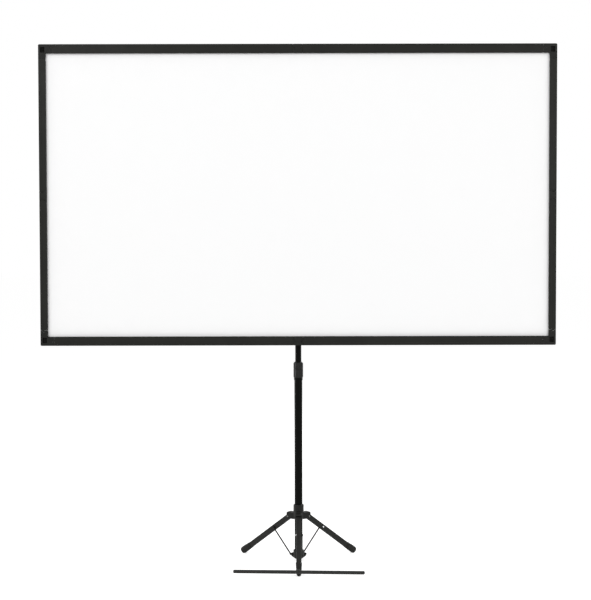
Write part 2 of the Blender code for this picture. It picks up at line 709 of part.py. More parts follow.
bar_turn = Matrix.Translation(bar_centre) @ Matrix.Rotation(BAR_SKEW, 4, LEG_OUTER)
bar_frame = front @ bar_turn @ basis((0.0, 0.0, 0.0), LEG_ALONG, LEG_OUTER, -ACROSS)
bar_half = BAR_LENGTH / 2
bar = turned(tube_profile(BAR_RADIUS, BAR_RADIUS - BAR_WALL, -bar_half, bar_half), matrix=bar_frame)
bar_top = BAR_OFFSET + BAR_RADIUS
bar_hole = along_bar_pivot(0.0, bar_top + OVERSHOOT, BAR_PIVOT_RADIUS + GAP)
bar_hole.data.transform(front)
node("stabilizer_bar", cut(bar, bar_hole), LEG_PAINT, front @ bar_centre)
pivot_screw = join(
    along_bar_pivot(screw_seat + GAP, bar_top + GAP + BURY, BAR_PIVOT_RADIUS),
    along_bar_pivot(bar_top + GAP, bar_top + GAP + BAR_PIVOT_HEAD, BAR_PIVOT_HEAD_RADIUS, BAR_PIVOT_RADIUS),
)
node("stabilizer_pivot", pivot_screw, LEG_PAINT, front @ bar_centre, front)
bpy.data.objects.remove(pivot_screw)
cap_fit = BAR_RADIUS - BAR_WALL - GAP
for side, half_turn in (("left", 0.0), ("right", pi)):
    cap = turned(
        [
            (0.0, bar_half - BAR_CAP_PLUG),
            (cap_fit, bar_half - BAR_CAP_PLUG),
            (cap_fit, bar_half + GAP),
            (BAR_RADIUS + GAP, bar_half + GAP),
            (BAR_RADIUS + GAP, bar_half + BAR_CAP_LIP / 2),
            (BAR_RADIUS - BAR_WALL, bar_half + BAR_CAP_LIP),
            (0.0, bar_half + BAR_CAP_LIP),
        ]
    )
    cap.data.transform(bar_frame @ Matrix.Rotation(half_turn, 4, "X"))
    node(f"bar_cap_{side}", cap, RUBBER, front @ bar_centre)


# Screen pieces, drawn for the upper right quarter from the screen's middle and mirrored to the others
POCKET_FACE = SHEET_SETBACK - GAP


def quarter(side, level):
    """The mirror from the upper right quarter to another, at the screen's height."""
    return Matrix.Translation((0.0, 0.0, SCREEN_HEIGHT)) @ Matrix.Diagonal((side, 1.0, level, 1.0))


def rail_profile(width):
    """A rail's section: front wall with a groove, short inner wall, outer wall with a rear lip."""
    groove = width - RAIL_GROOVE_INSET
    return [
        (0.0, 0.0),
        (groove - RAIL_GROOVE, 0.0),
        (groove - RAIL_GROOVE, RAIL_GROOVE_DEPTH),
        (groove, RAIL_GROOVE_DEPTH),
        (groove, 0.0),
        (width, 0.0),
        (width, RAIL_DEPTH),
        (width - RAIL_LIP, RAIL_DEPTH),
        (width - RAIL_LIP, RAIL_DEPTH - RAIL_WALL),
        (width - RAIL_WALL, RAIL_DEPTH - RAIL_WALL),
        (width - RAIL_WALL, RAIL_WALL),
        (RAIL_WALL, RAIL_WALL),
        (RAIL_WALL, POCKET_FACE),
        (0.0, POCKET_FACE),
    ]


def hinged_bar(frame, span, profile, plug, tongue, setback, nose, middle, pin_radius, notch=None):
    """A channel with a solid plug and a drilled tongue at each end.

    The frame has X along the bar from its first pin, Y to the back and Z across. The profile's points are
    (across, back). The plug gives its low and high across and back, and the tongue its low and high across.
    The notch is the outline, along and back from the far pin, of what is cut off the channel's far end.
    """
    section = frame @ Matrix(((0, 0, 1, 0), (0, 1, 0, 0), (1, 0, 0, 0), (0, 0, 0, 1)))
    body = plate(profile, setback, span - setback, section)
    tongue_outline = [
        *arc((0.0, middle), nose, pi / 2, 3 * pi / 2),
        (setback + PLUG_LENGTH / 2, middle - nose),
        (setback + PLUG_LENGTH / 2, middle + nose),
    ]
    far_end = frame @ Matrix.Translation((span, 0.0, 0.0)) @ Matrix.Diagonal((-1, 1, 1, 1))
    plugs, tongues, holes = [], [], []
    for place in (frame, far_end):
        low = (setback + BURY, plug[1][0], plug[0][0])
        high = (setback + PLUG_LENGTH, plug[1][1], plug[0][1])
        plugs.append(box(low, high, place))
        tongues.append(plate(tongue_outline, *tongue, place))
        drill = [place @ Vector((0.0, middle, t)) for t in (tongue[0] - OVERSHOOT, tongue[1] + OVERSHOOT)]
        holes.append(rod(*drill, pin_radius + GAP))
    body = join(body, *plugs)
    if notch is not None:
        across = [point[0] for point in profile]
        body = cut(body, plate(notch, min(across) - OVERSHOOT, max(across) + OVERSHOOT, far_end))
    return cut(join(body, *tongues), *holes)


def tongue_range(width):
    """Where a rail's tongue lies across its width, clear of the sheet's pocket."""
    middle = (SHEET_POCKET + width) / 2
    return middle - TONGUE_THICKNESS / 2, middle + TONGUE_THICKNESS / 2


def half_rail(frame, span, width):
    plug = ((SHEET_POCKET, width - RAIL_WALL + BURY), (RAIL_WALL - BURY, RAIL_DEPTH - 2 * RAIL_WALL))
    tongue = tongue_range(width)
    profile = rail_profile(width)
    past_rear = RAIL_DEPTH + OVERSHOOT
    mitre = [
        (RAIL_SETBACK, PIN_DEPTH),
        (RAIL_SETBACK + (past_rear - PIN_DEPTH) * tan(MITRE), past_rear),
        (RAIL_SETBACK - OVERSHOOT, past_rear),
        (RAIL_SETBACK - OVERSHOOT, PIN_DEPTH),
    ]
    return hinged_bar(
        frame, span, profile, plug, tongue, RAIL_SETBACK, TONGUE_NOSE, PIN_DEPTH, PIN_RADIUS, mitre
    )


def clevis_slot(frame, pin, width, way, depth):
    """The cutter for a tongue's slot, open past the pin in the given direction along X, and at the front."""
    low, high = tongue_range(width)
    inner = pin - way * PIN_DEPTH
    outer = pin + way * (RAIL_SETBACK + OVERSHOOT)
    return box(
        (min(inner, outer), -OVERSHOOT, low - GAP),
        (max(inner, outer), depth, high + GAP),
        frame,
    )


def clevis_pin(frame, pin, width):
    """The pin across a slot, set in both cheeks."""
    low, high = tongue_range(width)
    return rod(
        frame @ Vector((pin, PIN_DEPTH, low - GAP - RAIL_WALL)),
        frame @ Vector((pin, PIN_DEPTH, high + GAP + RAIL_WALL)),
        PIN_RADIUS,
    )


def sheet_rebate(frame, low, high):
    """The cutter for the sheet's pocket behind a front lip."""
    return box((low, POCKET_FACE, -OVERSHOOT), (high, RAIL_DEPTH + OVERSHOOT, SHEET_POCKET), frame)


LONG_EDGE = basis((0.0, RAIL_FRONT_Y, HALF_HEIGHT), (1.0, 0.0, 0.0), (0.0, 1.0, 0.0), (0.0, 0.0, 1.0))
SIDE_EDGE = basis((HALF_WIDTH, RAIL_FRONT_Y, 0.0), (0.0, 0.0, 1.0), (0.0, 1.0, 0.0), (1.0, 0.0, 0.0))


def mid_link(frame, width):
    """The link between two half rails: a clevis at each end, and a plate behind to stop the rails in line."""
    half_length = LINK_HALF + PIN_DEPTH
    stop_front = RAIL_DEPTH + GAP
    stop_half = half_length + STOP_LAP
    outline = [
        *arc((LINK_HALF, PIN_DEPTH), PIN_DEPTH, -pi / 2, 0.0),
        (half_length, stop_front + BURY),
        (-half_length, stop_front + BURY),
        *arc((-LINK_HALF, PIN_DEPTH), PIN_DEPTH, pi, 3 * pi / 2),
    ]
    stop = box((-stop_half, stop_front, 0.0), (stop_half, stop_front + STOP_PLATE, width), frame)
    reach = stop_half + OVERSHOOT
    slot_depth = 2 * PIN_DEPTH + SWING_GAP
    slots = [clevis_slot(frame, way * LINK_HALF, width, way, slot_depth) for way in (-1, 1)]
    body = join(plate(outline, 0.0, width, frame), stop)
    body = cut(body, sheet_rebate(frame, -reach, reach), *slots)
    return join(body, *[clevis_pin(frame, way * LINK_HALF, width) for way in (-1, 1)])


def from_first_pin(edge):
    return edge @ Matrix.Translation((LINK_HALF, 0.0, 0.0))


rail_long = half_rail(from_first_pin(LONG_EDGE), LONG_SPAN, LONG_RAIL_WIDTH)
rail_side = half_rail(from_first_pin(SIDE_EDGE), SIDE_SPAN, SIDE_RAIL_WIDTH)

# Diagonal arms
ARM_ALONG = Vector((LONG_SPAN, 0.0, SIDE_SPAN)).normalized()
ARM_HINGE = ARM_ALONG.cross(ACROSS)
HUB_PIVOT = Vector((LINK_HALF, ARM_PLANE_Y, LINK_HALF))
CORNER_PIVOT = Vector((CORNER_PIN_X, ARM_PLANE_Y, CORNER_PIN_Z))
half_arm = ARM_WIDTH / 2
arm_inside = half_arm - ARM_WALL
arm_profile = [
    (-half_arm, -half_arm),
    (half_arm, -half_arm),
    (half_arm, half_arm),
    (arm_inside, half_arm),
    (arm_inside, -arm_inside),
    (-arm_inside, -arm_inside),
    (-arm_inside, half_arm),
    (-half_arm, half_arm),
]
arm_shape = hinged_bar(
    basis(HUB_PIVOT, ARM_ALONG, ACROSS, ARM_HINGE),
    ARM_LENGTH,
    arm_profile,
    ((-arm_inside - BURY, arm_inside + BURY), (-arm_inside - BURY, arm_inside)),
    (-ARM_TONGUE / 2, ARM_TONGUE / 2),
    ARM_SETBACK,
    ARM_NOSE - GAP,
    0.0,
    ARM_PIN_RADIUS,
)
cheek_inner = ARM_TONGUE / 2 + GAP
cheek_outer = cheek_inner + ARM_CHEEK


def arm_cheeks(pivot, seat_y):
    """The two cheeks round an arm's tongue, standing on a seat before or behind the pivot."""
    away = 1.0 if seat_y < pivot.y else -1.0
    drop = seat_y - pivot.y
    outline = [(ARM_NOSE, drop), *arc((0.0, 0.0), ARM_NOSE, 0.0, away * pi), (-ARM_NOSE, drop)]
    frame = basis(pivot, ARM_ALONG, ACROSS, ARM_HINGE)
    return [
        plate(outline, cheek_inner, cheek_outer, frame),
        plate(outline, -cheek_outer, -cheek_inner, frame),
    ]


def arm_pin_rod(pivot, half, radius):
    return rod(pivot - ARM_HINGE * half, pivot + ARM_HINGE * half, radius)


def arm_pin(pivot):
    """A headed pin through both cheeks."""
    heads = []
    for way in (-1.0, 1.0):
        ends = [pivot + ARM_HINGE * way * (cheek_outer + GAP + t) for t in (0.0, ARM_PIN_HEAD)]
        heads.append(rod(*ends, ARM_PIN_HEAD_RADIUS))
    return join(arm_pin_rod(pivot, cheek_outer + GAP + BURY, ARM_PIN_RADIUS), *heads)


# Corner blocks: an L with two clevises, a front pocket, and a gusset behind the sheet that holds the arm
def corner_arm(pin, end, width, frame):
    """One arm of the L, which meets the rail in front and slopes away behind, for the rail to fold back."""
    seam = pin - PIN_DEPTH
    notch_floor = PIN_DEPTH + TONGUE_NOSE
    outline = [
        (seam, 0.0),
        (end, 0.0),
        (end, RAIL_DEPTH),
        (pin + (RAIL_DEPTH - notch_floor) * tan(MITRE), RAIL_DEPTH),
        (pin, notch_floor),
        (seam, PIN_DEPTH),
    ]
    return plate(outline, 0.0, width, frame)


corner = join(
    corner_arm(CORNER_PIN_X, HALF_WIDTH + SIDE_RAIL_WIDTH, LONG_RAIL_WIDTH, LONG_EDGE),
    corner_arm(CORNER_PIN_Z, HALF_HEIGHT + LONG_RAIL_WIDTH / 2, SIDE_RAIL_WIDTH, SIDE_EDGE),
)
pocket_x = HALF_WIDTH + CORNER_POCKET_INSET
pocket_z = HALF_HEIGHT + CORNER_POCKET_INSET
pocket_low = Vector((pocket_x, RAIL_FRONT_Y - OVERSHOOT, pocket_z))
pocket_size = Vector((CORNER_POCKET_WIDTH, CORNER_POCKET_DEPTH + OVERSHOOT, CORNER_POCKET_HEIGHT))
corner = cut(
    corner,
    sheet_rebate(LONG_EDGE, CORNER_PIN_X - RAIL_SETBACK, HALF_WIDTH + SHEET_POCKET),
    sheet_rebate(SIDE_EDGE, CORNER_PIN_Z - RAIL_SETBACK, HALF_HEIGHT + SHEET_POCKET),
    clevis_slot(LONG_EDGE, CORNER_PIN_X, LONG_RAIL_WIDTH, -1, RAIL_DEPTH + OVERSHOOT),
    clevis_slot(SIDE_EDGE, CORNER_PIN_Z, SIDE_RAIL_WIDTH, -1, RAIL_DEPTH + OVERSHOOT),
    box(pocket_low, pocket_low + pocket_size),
)
half_gusset = GUSSET_WIDTH / 2
gusset_rear = RAIL_REAR_Y + GUSSET_THICKNESS
gusset_run = hypot(CORNER_REACH, CORNER_REACH)
diagonal = Vector((1.0, 0.0, 1.0)).normalized()
gusset = box(
    (-half_gusset - GUSSET_THICKNESS, RAIL_REAR_Y - BURY, -half_gusset),
    (gusset_run + SIDE_RAIL_WIDTH / 2, gusset_rear, half_gusset),
    basis((CORNER_PIN_X, 0.0, CORNER_PIN_Z), diagonal, ACROSS, diagonal.cross(ACROSS)),
)
corner = join(
    corner,
    gusset,
    clevis_pin(LONG_EDGE, CORNER_PIN_X, LONG_RAIL_WIDTH),
    clevis_pin(SIDE_EDGE, CORNER_PIN_Z, SIDE_RAIL_WIDTH),
    *arm_cheeks(CORNER_PIVOT, gusset_rear - BURY),
)
corner = cut(corner, arm_pin_rod(CORNER_PIVOT, cheek_outer + OVERSHOOT, ARM_PIN_RADIUS + GAP))
corner_pin = arm_pin(CORNER_PIVOT)
hub_pin = arm_pin(HUB_PIVOT)

sides = {"left": -1.0, "right": 1.0}
levels = {"top": 1.0, "bottom": -1.0}
half_names = {"top": "upper", "bottom": "lower"}
for level_name, level in levels.items():
    for side_name, side in sides.items():
        place = quarter(side, level)
        spot = f"{level_name}_{side_name}"
        long_pin = place @ Vector((CORNER_PIN_X, RAIL_PIN_Y, HALF_HEIGHT))
        side_pin = place @ Vector((HALF_WIDTH, RAIL_PIN_Y, CORNER_PIN_Z))
        node(f"rail_{spot}", rail_long, RAIL_PAINT, long_pin, place)
        node(f"rail_{side_name}_{half_names[level_name]}", rail_side, RAIL_PAINT, side_pin, place)
        node(f"corner_{spot}", corner, JOINT_PLASTIC, place @ CORNER_PIVOT, place)
        node(f"arm_{spot}", arm_shape, LEG_PAINT, place @ HUB_PIVOT, place)
        node(f"corner_pin_{spot}", corner_pin, ZINC, place @ CORNER_PIVOT, place)
        node(f"hub_pin_{spot}", hub_pin, ZINC, place @ HUB_PIVOT, place)
long_link = mid_link(LONG_EDGE, LONG_RAIL_WIDTH)
side_link = mid_link(SIDE_EDGE, SIDE_RAIL_WIDTH)
for level_name, level in levels.items():
    place = quarter(1.0, level)
    pin = place @ Vector((-LINK_HALF, RAIL_PIN_Y, HALF_HEIGHT))
    node(f"link_{level_name}", long_link, RAIL_PAINT, pin, place)
for side_name, side in sides.items():
    place = quarter(side, 1.0)
    pin = place @ Vector((HALF_WIDTH, RAIL_PIN_Y, LINK_HALF))
    node(f"link_{side_name}", side_link, RAIL_PAINT, pin, place)

# Hub: a socket on the inner tube, a front plate and a clevis for each arm
hub_front = ARM_PLANE_Y + half_arm + HUB_ARM_GAP
half_plate = HUB_PLATE / 2
corner_round = half_plate - LINK_HALF
plate_outline = []
for start, (a, b) in enumerate(((1, 1), (-1, 1), (-1, -1), (1, -1))):
    centre = (a * LINK_HALF, b * LINK_HALF)
    plate_outline += arc(centre, corner_round, start * pi / 2, (start + 1) * pi / 2, ROUND_STEPS)
at_screen = basis((0.0, 0.0, SCREEN_HEIGHT), (1.0, 0.0, 0.0), (0.0, 0.0, 1.0), (0.0, -1.0, 0.0))
hub_plate = plate(plate_outline, -hub_front - HUB_PLATE_THICKNESS, -hub_front, at_screen)
hub_low = SCREEN_HEIGHT + HUB_TOP - HUB_SOCKET_LENGTH
socket = rod((0.0, 0.0, hub_low), (0.0, 0.0, SCREEN_HEIGHT + HUB_TOP), HUB_SOCKET_RADIUS, TUBE_SIDES)
hub_shapes, hub_cuts = [], []
for level in levels.values():
    for side in sides.values():
        place = quarter(side, level)
        for cheek in arm_cheeks(HUB_PIVOT, hub_front + BURY):
            hub_shapes.append(mesh_object(cheek.data.copy(), place))
            bpy.data.objects.remove(cheek)
        drill = arm_pin_rod(HUB_PIVOT, cheek_outer + OVERSHOOT, ARM_PIN_RADIUS + GAP)
        hub_cuts.append(mesh_object(drill.data.copy(), place))
        bpy.data.objects.remove(drill)
hub_bore = INNER_TUBE_RADIUS + GAP
tube_seat = rod(
    (0.0, 0.0, hub_low - OVERSHOOT),
    (0.0, 0.0, SCREEN_HEIGHT + HUB_TOP - HUB_CAP),
    hub_bore,
    TUBE_SIDES,
)
hub_knob_height = SCREEN_HEIGHT - HUB_KNOB_DROP
hub = cut(join(socket, hub_plate, *hub_shapes), tube_seat, *hub_cuts)
node("screen_hub", clamp_boss(hub, hub_knob_height, hub_bore), JOINT_PLASTIC)
knob("hub_clamp_knob", hub_bore, hub_knob_height)

# The sheet, tucked behind the rails' inner walls
sheet_x = HALF_WIDTH + SHEET_TUCK
sheet_z = HALF_HEIGHT + SHEET_TUCK
sheet_y = RAIL_FRONT_Y + SHEET_SETBACK
node(
    "screen_sheet",
    box((-sheet_x, sheet_y, -sheet_z), (sheet_x, sheet_y + SHEET_THICKNESS, sheet_z), quarter(1.0, 1.0)),
    SHEET_WHITE,
    (0.0, sheet_y, SCREEN_HEIGHT),
)
for shape in (rail_long, rail_side, corner, arm_shape, corner_pin, hub_pin, long_link, side_link):
    bpy.data.objects.remove(shape)
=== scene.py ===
"""Looks of the portable projection screen: finishes, sheet, turned and moulded pieces, light and camera.

Metres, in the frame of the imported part: +Z up, the viewer on the -Y side, the floor at z = 0.
"""

import json
from math import cos, pi, radians, sin

import bmesh
import bpy
from mathutils import Matrix, Vector

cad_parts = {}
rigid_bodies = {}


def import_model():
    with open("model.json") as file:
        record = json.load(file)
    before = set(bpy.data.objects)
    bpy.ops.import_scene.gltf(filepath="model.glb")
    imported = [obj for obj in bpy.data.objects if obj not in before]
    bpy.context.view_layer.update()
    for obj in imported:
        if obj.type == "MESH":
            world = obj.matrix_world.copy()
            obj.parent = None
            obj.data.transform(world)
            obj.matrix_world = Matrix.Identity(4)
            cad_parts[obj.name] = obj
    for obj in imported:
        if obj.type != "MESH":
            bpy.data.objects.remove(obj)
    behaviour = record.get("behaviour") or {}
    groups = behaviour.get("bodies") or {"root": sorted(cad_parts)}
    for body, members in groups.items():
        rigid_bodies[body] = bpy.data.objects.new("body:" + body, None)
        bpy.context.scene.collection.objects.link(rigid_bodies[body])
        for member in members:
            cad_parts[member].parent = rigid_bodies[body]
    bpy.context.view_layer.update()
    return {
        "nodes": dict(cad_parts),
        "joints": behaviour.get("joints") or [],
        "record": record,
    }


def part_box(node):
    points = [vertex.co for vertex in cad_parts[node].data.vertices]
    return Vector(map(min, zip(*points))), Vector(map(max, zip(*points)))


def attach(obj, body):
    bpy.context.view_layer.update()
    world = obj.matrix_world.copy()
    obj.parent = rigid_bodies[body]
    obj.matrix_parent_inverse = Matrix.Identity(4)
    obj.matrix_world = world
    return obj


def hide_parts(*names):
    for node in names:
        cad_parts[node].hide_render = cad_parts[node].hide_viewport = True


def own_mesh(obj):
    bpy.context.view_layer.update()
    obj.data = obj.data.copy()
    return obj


# Image and camera
IMAGE_LONG_SIDE = 600
SENSOR = 36.0
FOCAL_PIXELS = 1318.26
CAMERA_FROM_MAST = Vector((-0.0162, -4.7167, 1.1041))
CAMERA_PITCH = 0.03535
CAMERA_YAW = 0.00142
CAMERA_ROLL = 0.00203

# Directions
ORIGIN = Vector((0.0, 0.0, 0.0))
UP = Vector((0.0, 0.0, 1.0))
AHEAD = Vector((0.0, 1.0, 0.0))
ASIDE = Vector((1.0, 0.0, 0.0))

# Roundness
TURNED_SIDES = 72
SMALL_SIDES = 32
SMOOTH_ANGLE = radians(38)
EDGE_BREAK = 0.0004
FINE_EDGE = 0.0003
CORE_RADIUS = 0.0005
ROUNDED_SHARE = 0.45
LEAST_SLANT = 0.5

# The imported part
for leftover in list(bpy.data.objects):
    bpy.data.objects.remove(leftover, do_unlink=True)
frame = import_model()
nodes = frame["nodes"]
joints = {joint["name"]: joint for joint in frame["joints"]}
body_of = {
    member: body
    for body, members in frame["record"]["behaviour"]["bodies"].items()
    for member in members
}
slot_of = {row["node"]: row["material_slot"] for row in frame["record"]["subparts"]}


def middle(name):
    low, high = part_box(name)
    return (low + high) / 2


MAST = Vector((0.0, middle("mast_outer_tube").y, 0.0))


class Finish:
    """A Principled material whose nodes are added one at a time, in the piece's own coordinates."""

    def __init__(self, name, colour, roughness, metallic=0.0, specular=0.5, space="Object"):
        self.material = bpy.data.materials.new(name)
        self.material.use_nodes = True
        self.tree = self.material.node_tree
        self.shader = self.tree.nodes["Principled BSDF"]
        self.shader.inputs["Base Color"].default_value = (*colour, 1.0)
        self.shader.inputs["Roughness"].default_value = roughness
        self.shader.inputs["Metallic"].default_value = metallic
        self.shader.inputs["Specular IOR Level"].default_value = specular
        self.place = self.tree.nodes.new("ShaderNodeTexCoord").outputs[space]

    def link(self, source, target):
        self.tree.links.new(source, target)

    def add(self, kind, **settings):
        made = self.tree.nodes.new(kind)
        for key, value in settings.items():
            setattr(made, key, value)
        return made

    def stretched(self, stretch):
        """The piece's coordinates, scaled along each axis."""
        made = self.add("ShaderNodeMapping")
        made.inputs["Scale"].default_value = stretch
        self.link(self.place, made.inputs["Vector"])
        return made.outputs["Vector"]

    def noise(self, scale, detail=3.0, stretch=(1.0, 1.0, 1.0)):
        made = self.add("ShaderNodeTexNoise")
        made.inputs["Scale"].default_value = scale
        made.inputs["Detail"].default_value = detail
        self.link(self.stretched(stretch), made.inputs["Vector"])
        return made.outputs["Fac"]

    def cells(self, scale):
        made = self.add("ShaderNodeTexVoronoi")
        made.inputs["Scale"].default_value = scale
        self.link(self.place, made.inputs["Vector"])
        return made.outputs["Distance"]

    def threads(self, scale, direction):
        """Parallel threads across one axis."""
        made = self.add("ShaderNodeTexWave", wave_type="BANDS", bands_direction=direction, wave_profile="SIN")
        made.inputs["Scale"].default_value = scale
        self.link(self.place, made.inputs["Vector"])
        return made.outputs["Fac"]

    def maths(self, operation, first, second):
        made = self.add("ShaderNodeMath", operation=operation)
        for socket, value in zip(made.inputs, (first, second)):
            if isinstance(value, (int, float)):
                socket.default_value = value
            else:
                self.link(value, socket)
        return made.outputs["Value"]

    def ramp(self, factor, low, high, low_colour, high_colour):
        """A colour or grey that goes from one value to another between two levels of the factor."""
        made = self.add("ShaderNodeValToRGB")
        for stop, at, colour in zip(made.color_ramp.elements, (low, high), (low_colour, high_colour)):
            stop.position = at
            stop.color = (*colour, 1.0) if isinstance(colour, tuple) else (colour, colour, colour, 1.0)
        self.link(factor, made.inputs["Fac"])
        return made.outputs["Color"]

    def mix(self, factor, first, second):
        """Two colours mixed by a factor; each colour is a tuple or another node's output."""
        made = self.add("ShaderNodeMix", data_type="RGBA")
        self.link(factor, made.inputs["Factor"])
        for socket, value in zip((made.inputs[6], made.inputs[7]), (first, second)):
            if isinstance(value, tuple):
                socket.default_value = (*value, 1.0)
            else:
                self.link(value, socket)
        return made.outputs[2]

    def colour(self, source):
        self.link(source, self.shader.inputs["Base Color"])
        return self

    def roughness(self, source):
        self.link(source, self.shader.inputs["Roughness"])
        return self

    def bump(self, height, distance, strength=1.0):
        """Surface relief; a second call adds to the first."""
        made = self.add("ShaderNodeBump")
        made.inputs["Strength"].default_value = strength
        made.inputs["Distance"].default_value = distance
        self.link(height, made.inputs["Height"])
        normal = self.shader.inputs["Normal"]
        if normal.is_linked:
            self.link(normal.links[0].from_socket, made.inputs["Normal"])
        self.link(made.outputs["Normal"], normal)
        return self

    def edge_wear(self, radius, low=0.06, high=0.35):
        """A mask that is bright along sharp edges."""
        soft = self.add("ShaderNodeBevel", samples=4)
        soft.inputs["Radius"].default_value = radius
        true = self.add("ShaderNodeNewGeometry")
        dot = self.add("ShaderNodeVectorMath", operation="DOT_PRODUCT")
        self.link(soft.outputs["Normal"], dot.inputs[0])
        self.link(true.outputs["Normal"], dot.inputs[1])
        bend = self.maths("SUBTRACT", 1.0, dot.outputs["Value"])
        patchy = self.maths("MULTIPLY", bend, self.noise(scale=160.0, detail=4.0))
        return self.ramp(patchy, low, high, 0.0, 1.0)


# Finishes
def tinted(colour, factor):
    """A colour made darker or lighter."""
    return tuple(factor * c for c in colour)


def powder_coat(name, colour, roughness, specular, wear_colour):
    """Satin paint on metal: fine orange peel, faint cloudy tone, and rubbed edges."""
    made = Finish(name, colour, roughness, specular=specular)
    darker = tinted(colour, 0.82)
    lighter = tinted(colour, 1.18)
    cloud = made.ramp(made.noise(scale=9.0, detail=4.0), 0.35, 0.7, darker, lighter)
    made.colour(made.mix(made.edge_wear(radius=0.0012), cloud, wear_colour))
    rubbed = made.noise(scale=70.0, detail=3.0)
    made.roughness(made.ramp(rubbed, 0.3, 0.75, roughness - 0.06, roughness + 0.08))
    made.bump(made.noise(scale=1400.0, detail=2.0), distance=0.00006, strength=0.6)
    return made.material


def moulded(name, colour, roughness, specular, grain=0.00005):
    """Moulded plastic: spark-eroded grain, faint flow marks and polished high spots."""
    made = Finish(name, colour, roughness, specular=specular)
    darker = tinted(colour, 0.85)
    lighter = tinted(colour, 1.2)
    marks = made.noise(scale=26.0, detail=5.0, stretch=(1.0, 1.0, 0.35))
    flow = made.ramp(marks, 0.3, 0.75, darker, lighter)
    made.colour(made.mix(made.edge_wear(radius=0.0009), flow, tinted(colour, 2.2)))
    polish = made.noise(scale=120.0, detail=4.0)
    made.roughness(made.ramp(polish, 0.3, 0.7, roughness - 0.08, roughness + 0.08))
    made.bump(made.cells(scale=1900.0), distance=grain, strength=0.7)
    return made.material


def bare_metal(name, colour, roughness):
    """Plated metal with a fine grain and dull spots."""
    made = Finish(name, colour, roughness, metallic=1.0)
    dull = tinted(colour, 0.7)
    made.colour(made.ramp(made.noise(scale=300.0, detail=5.0), 0.35, 0.65, dull, colour))
    spots = made.noise(scale=500.0, detail=4.0)
    made.roughness(made.ramp(spots, 0.3, 0.7, roughness - 0.08, roughness + 0.14))
    made.bump(made.noise(scale=900.0, detail=3.0), distance=0.00004, strength=0.5)
    return made.material


def rubber(name, colour):
    """Matt rubber with a dusty bloom."""
    made = Finish(name, colour, roughness=0.78, specular=0.25)
    bloom = tinted(colour, 1.7)
    made.colour(made.ramp(made.noise(scale=55.0, detail=6.0), 0.4, 0.75, colour, bloom))
    made.roughness(made.ramp(made.noise(scale=40.0, detail=4.0), 0.3, 0.7, 0.7, 0.88))
    made.bump(made.noise(scale=800.0, detail=4.0), distance=0.00012, strength=0.6)
    return made.material


CLOTH_THREADS = 330.0
HEM_WIDTH = 0.026
STITCH_INSET = 0.004
STITCH_PITCH = 0.0045
STITCH_HALF = 0.0005
STITCH_SHARE = 0.68
HEM_TONE = 1.25
STITCH_TONE = 2.4


def cloth(name, colour, roughness, uneven):
    """Coated cloth in the sheet's own flat coordinates: a fine plain weave under a matt coat."""
    made = Finish(name, colour, roughness, specular=0.12, space="UV")
    shade = tinted(colour, uneven)
    tone = made.ramp(made.noise(scale=420.0, detail=4.0), 0.25, 0.75, shade, colour)
    made.colour(tone)
    weave = made.maths("MULTIPLY", made.threads(CLOTH_THREADS, "X"), made.threads(CLOTH_THREADS, "Y"))
    made.bump(weave, distance=0.00005, strength=0.5)
    return made, tone


def backing(name, colour, roughness, half):
    """The back of the sheet: woven, with a hem along the edges and a row of stitches in it."""
    made, tone = cloth(name, colour, roughness, uneven=0.72)
    flat = made.add("ShaderNodeSeparateXYZ")
    made.link(made.place, flat.inputs["Vector"])
    across, up = flat.outputs["X"], flat.outputs["Y"]
    from_side = made.maths("SUBTRACT", half.x, made.maths("ABSOLUTE", across, 0.0))
    from_end = made.maths("SUBTRACT", half.z, made.maths("ABSOLUTE", up, 0.0))
    from_edge = made.maths("MINIMUM", from_side, from_end)
    hem = made.maths("LESS_THAN", from_edge, HEM_WIDTH)
    off_row = made.maths("ABSOLUTE", made.maths("SUBTRACT", from_edge, HEM_WIDTH - STITCH_INSET), 0.0)
    in_row = made.maths("LESS_THAN", off_row, STITCH_HALF)
    step = made.maths("FRACT", made.maths("DIVIDE", made.maths("ADD", across, up), STITCH_PITCH), 0.0)
    stitch = made.maths("MULTIPLY", in_row, made.maths("LESS_THAN", step, STITCH_SHARE))
    hemmed = made.mix(hem, tone, tinted(colour, HEM_TONE))
    made.colour(made.mix(stitch, hemmed, tinted(colour, STITCH_TONE)))
    made.bump(made.maths("ADD", hem, stitch), distance=0.0004, strength=0.8)
    return made.material


RAIL_PAINT = powder_coat("rail_paint", (0.0092, 0.0096, 0.0076), 0.44, 0.17, (0.024, 0.024, 0.021))
LEG_PAINT = powder_coat("leg_paint", (0.0100, 0.0104, 0.0090), 0.42, 0.20, (0.028, 0.028, 0.026))
MAST_PAINT = powder_coat("mast_paint", (0.0014, 0.0016, 0.0010), 0.34, 0.06, (0.008, 0.008, 0.007))
JOINT_PLASTIC = moulded("joint_plastic", (0.0080, 0.0083, 0.0070), 0.5, 0.17)
GRIP_PLASTIC = moulded("grip_plastic", (0.0066, 0.0068, 0.0060), 0.42, 0.19, 0.00008)
# Painted shade: a dark colour for the pocket insert and its screw, standing in for the shade deep in the
# corner pockets
POCKET_PAINTED_SHADE = moulded("pocket_painted_shade", (0.0056, 0.0056, 0.0050), 0.6, 0.08)
INNER_NYLON = moulded("inner_nylon", (0.52, 0.52, 0.48), 0.45, 0.4)
ZINC = bare_metal("zinc_rivet", (0.82, 0.83, 0.84), 0.24)
WIRE = powder_coat("brace_wire", (0.0120, 0.0122, 0.0112), 0.5, 0.12, (0.05, 0.05, 0.048))
DULL_ZINC = bare_metal("dull_rivet", (0.15, 0.15, 0.145), 0.38)
# Painted light: the bar's paint is a lighter copy of the leg paint, standing in for the light that the bar
# catches
BAR_PAINTED_LIGHT = powder_coat("bar_painted_light", (0.0170, 0.0176, 0.0158), 0.42, 0.22, (0.034, 0.034, 0.032))
RUBBER = rubber("foot_rubber", (0.0105, 0.0105, 0.0096))
sheet_low, sheet_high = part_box("screen_sheet")
sheet_middle = (sheet_low + sheet_high) / 2
sheet_half = (sheet_high - sheet_low) / 2
SHEET_WHITE = cloth("sheet_white", (0.955, 0.955, 0.955), 0.88, 0.985)[0].material
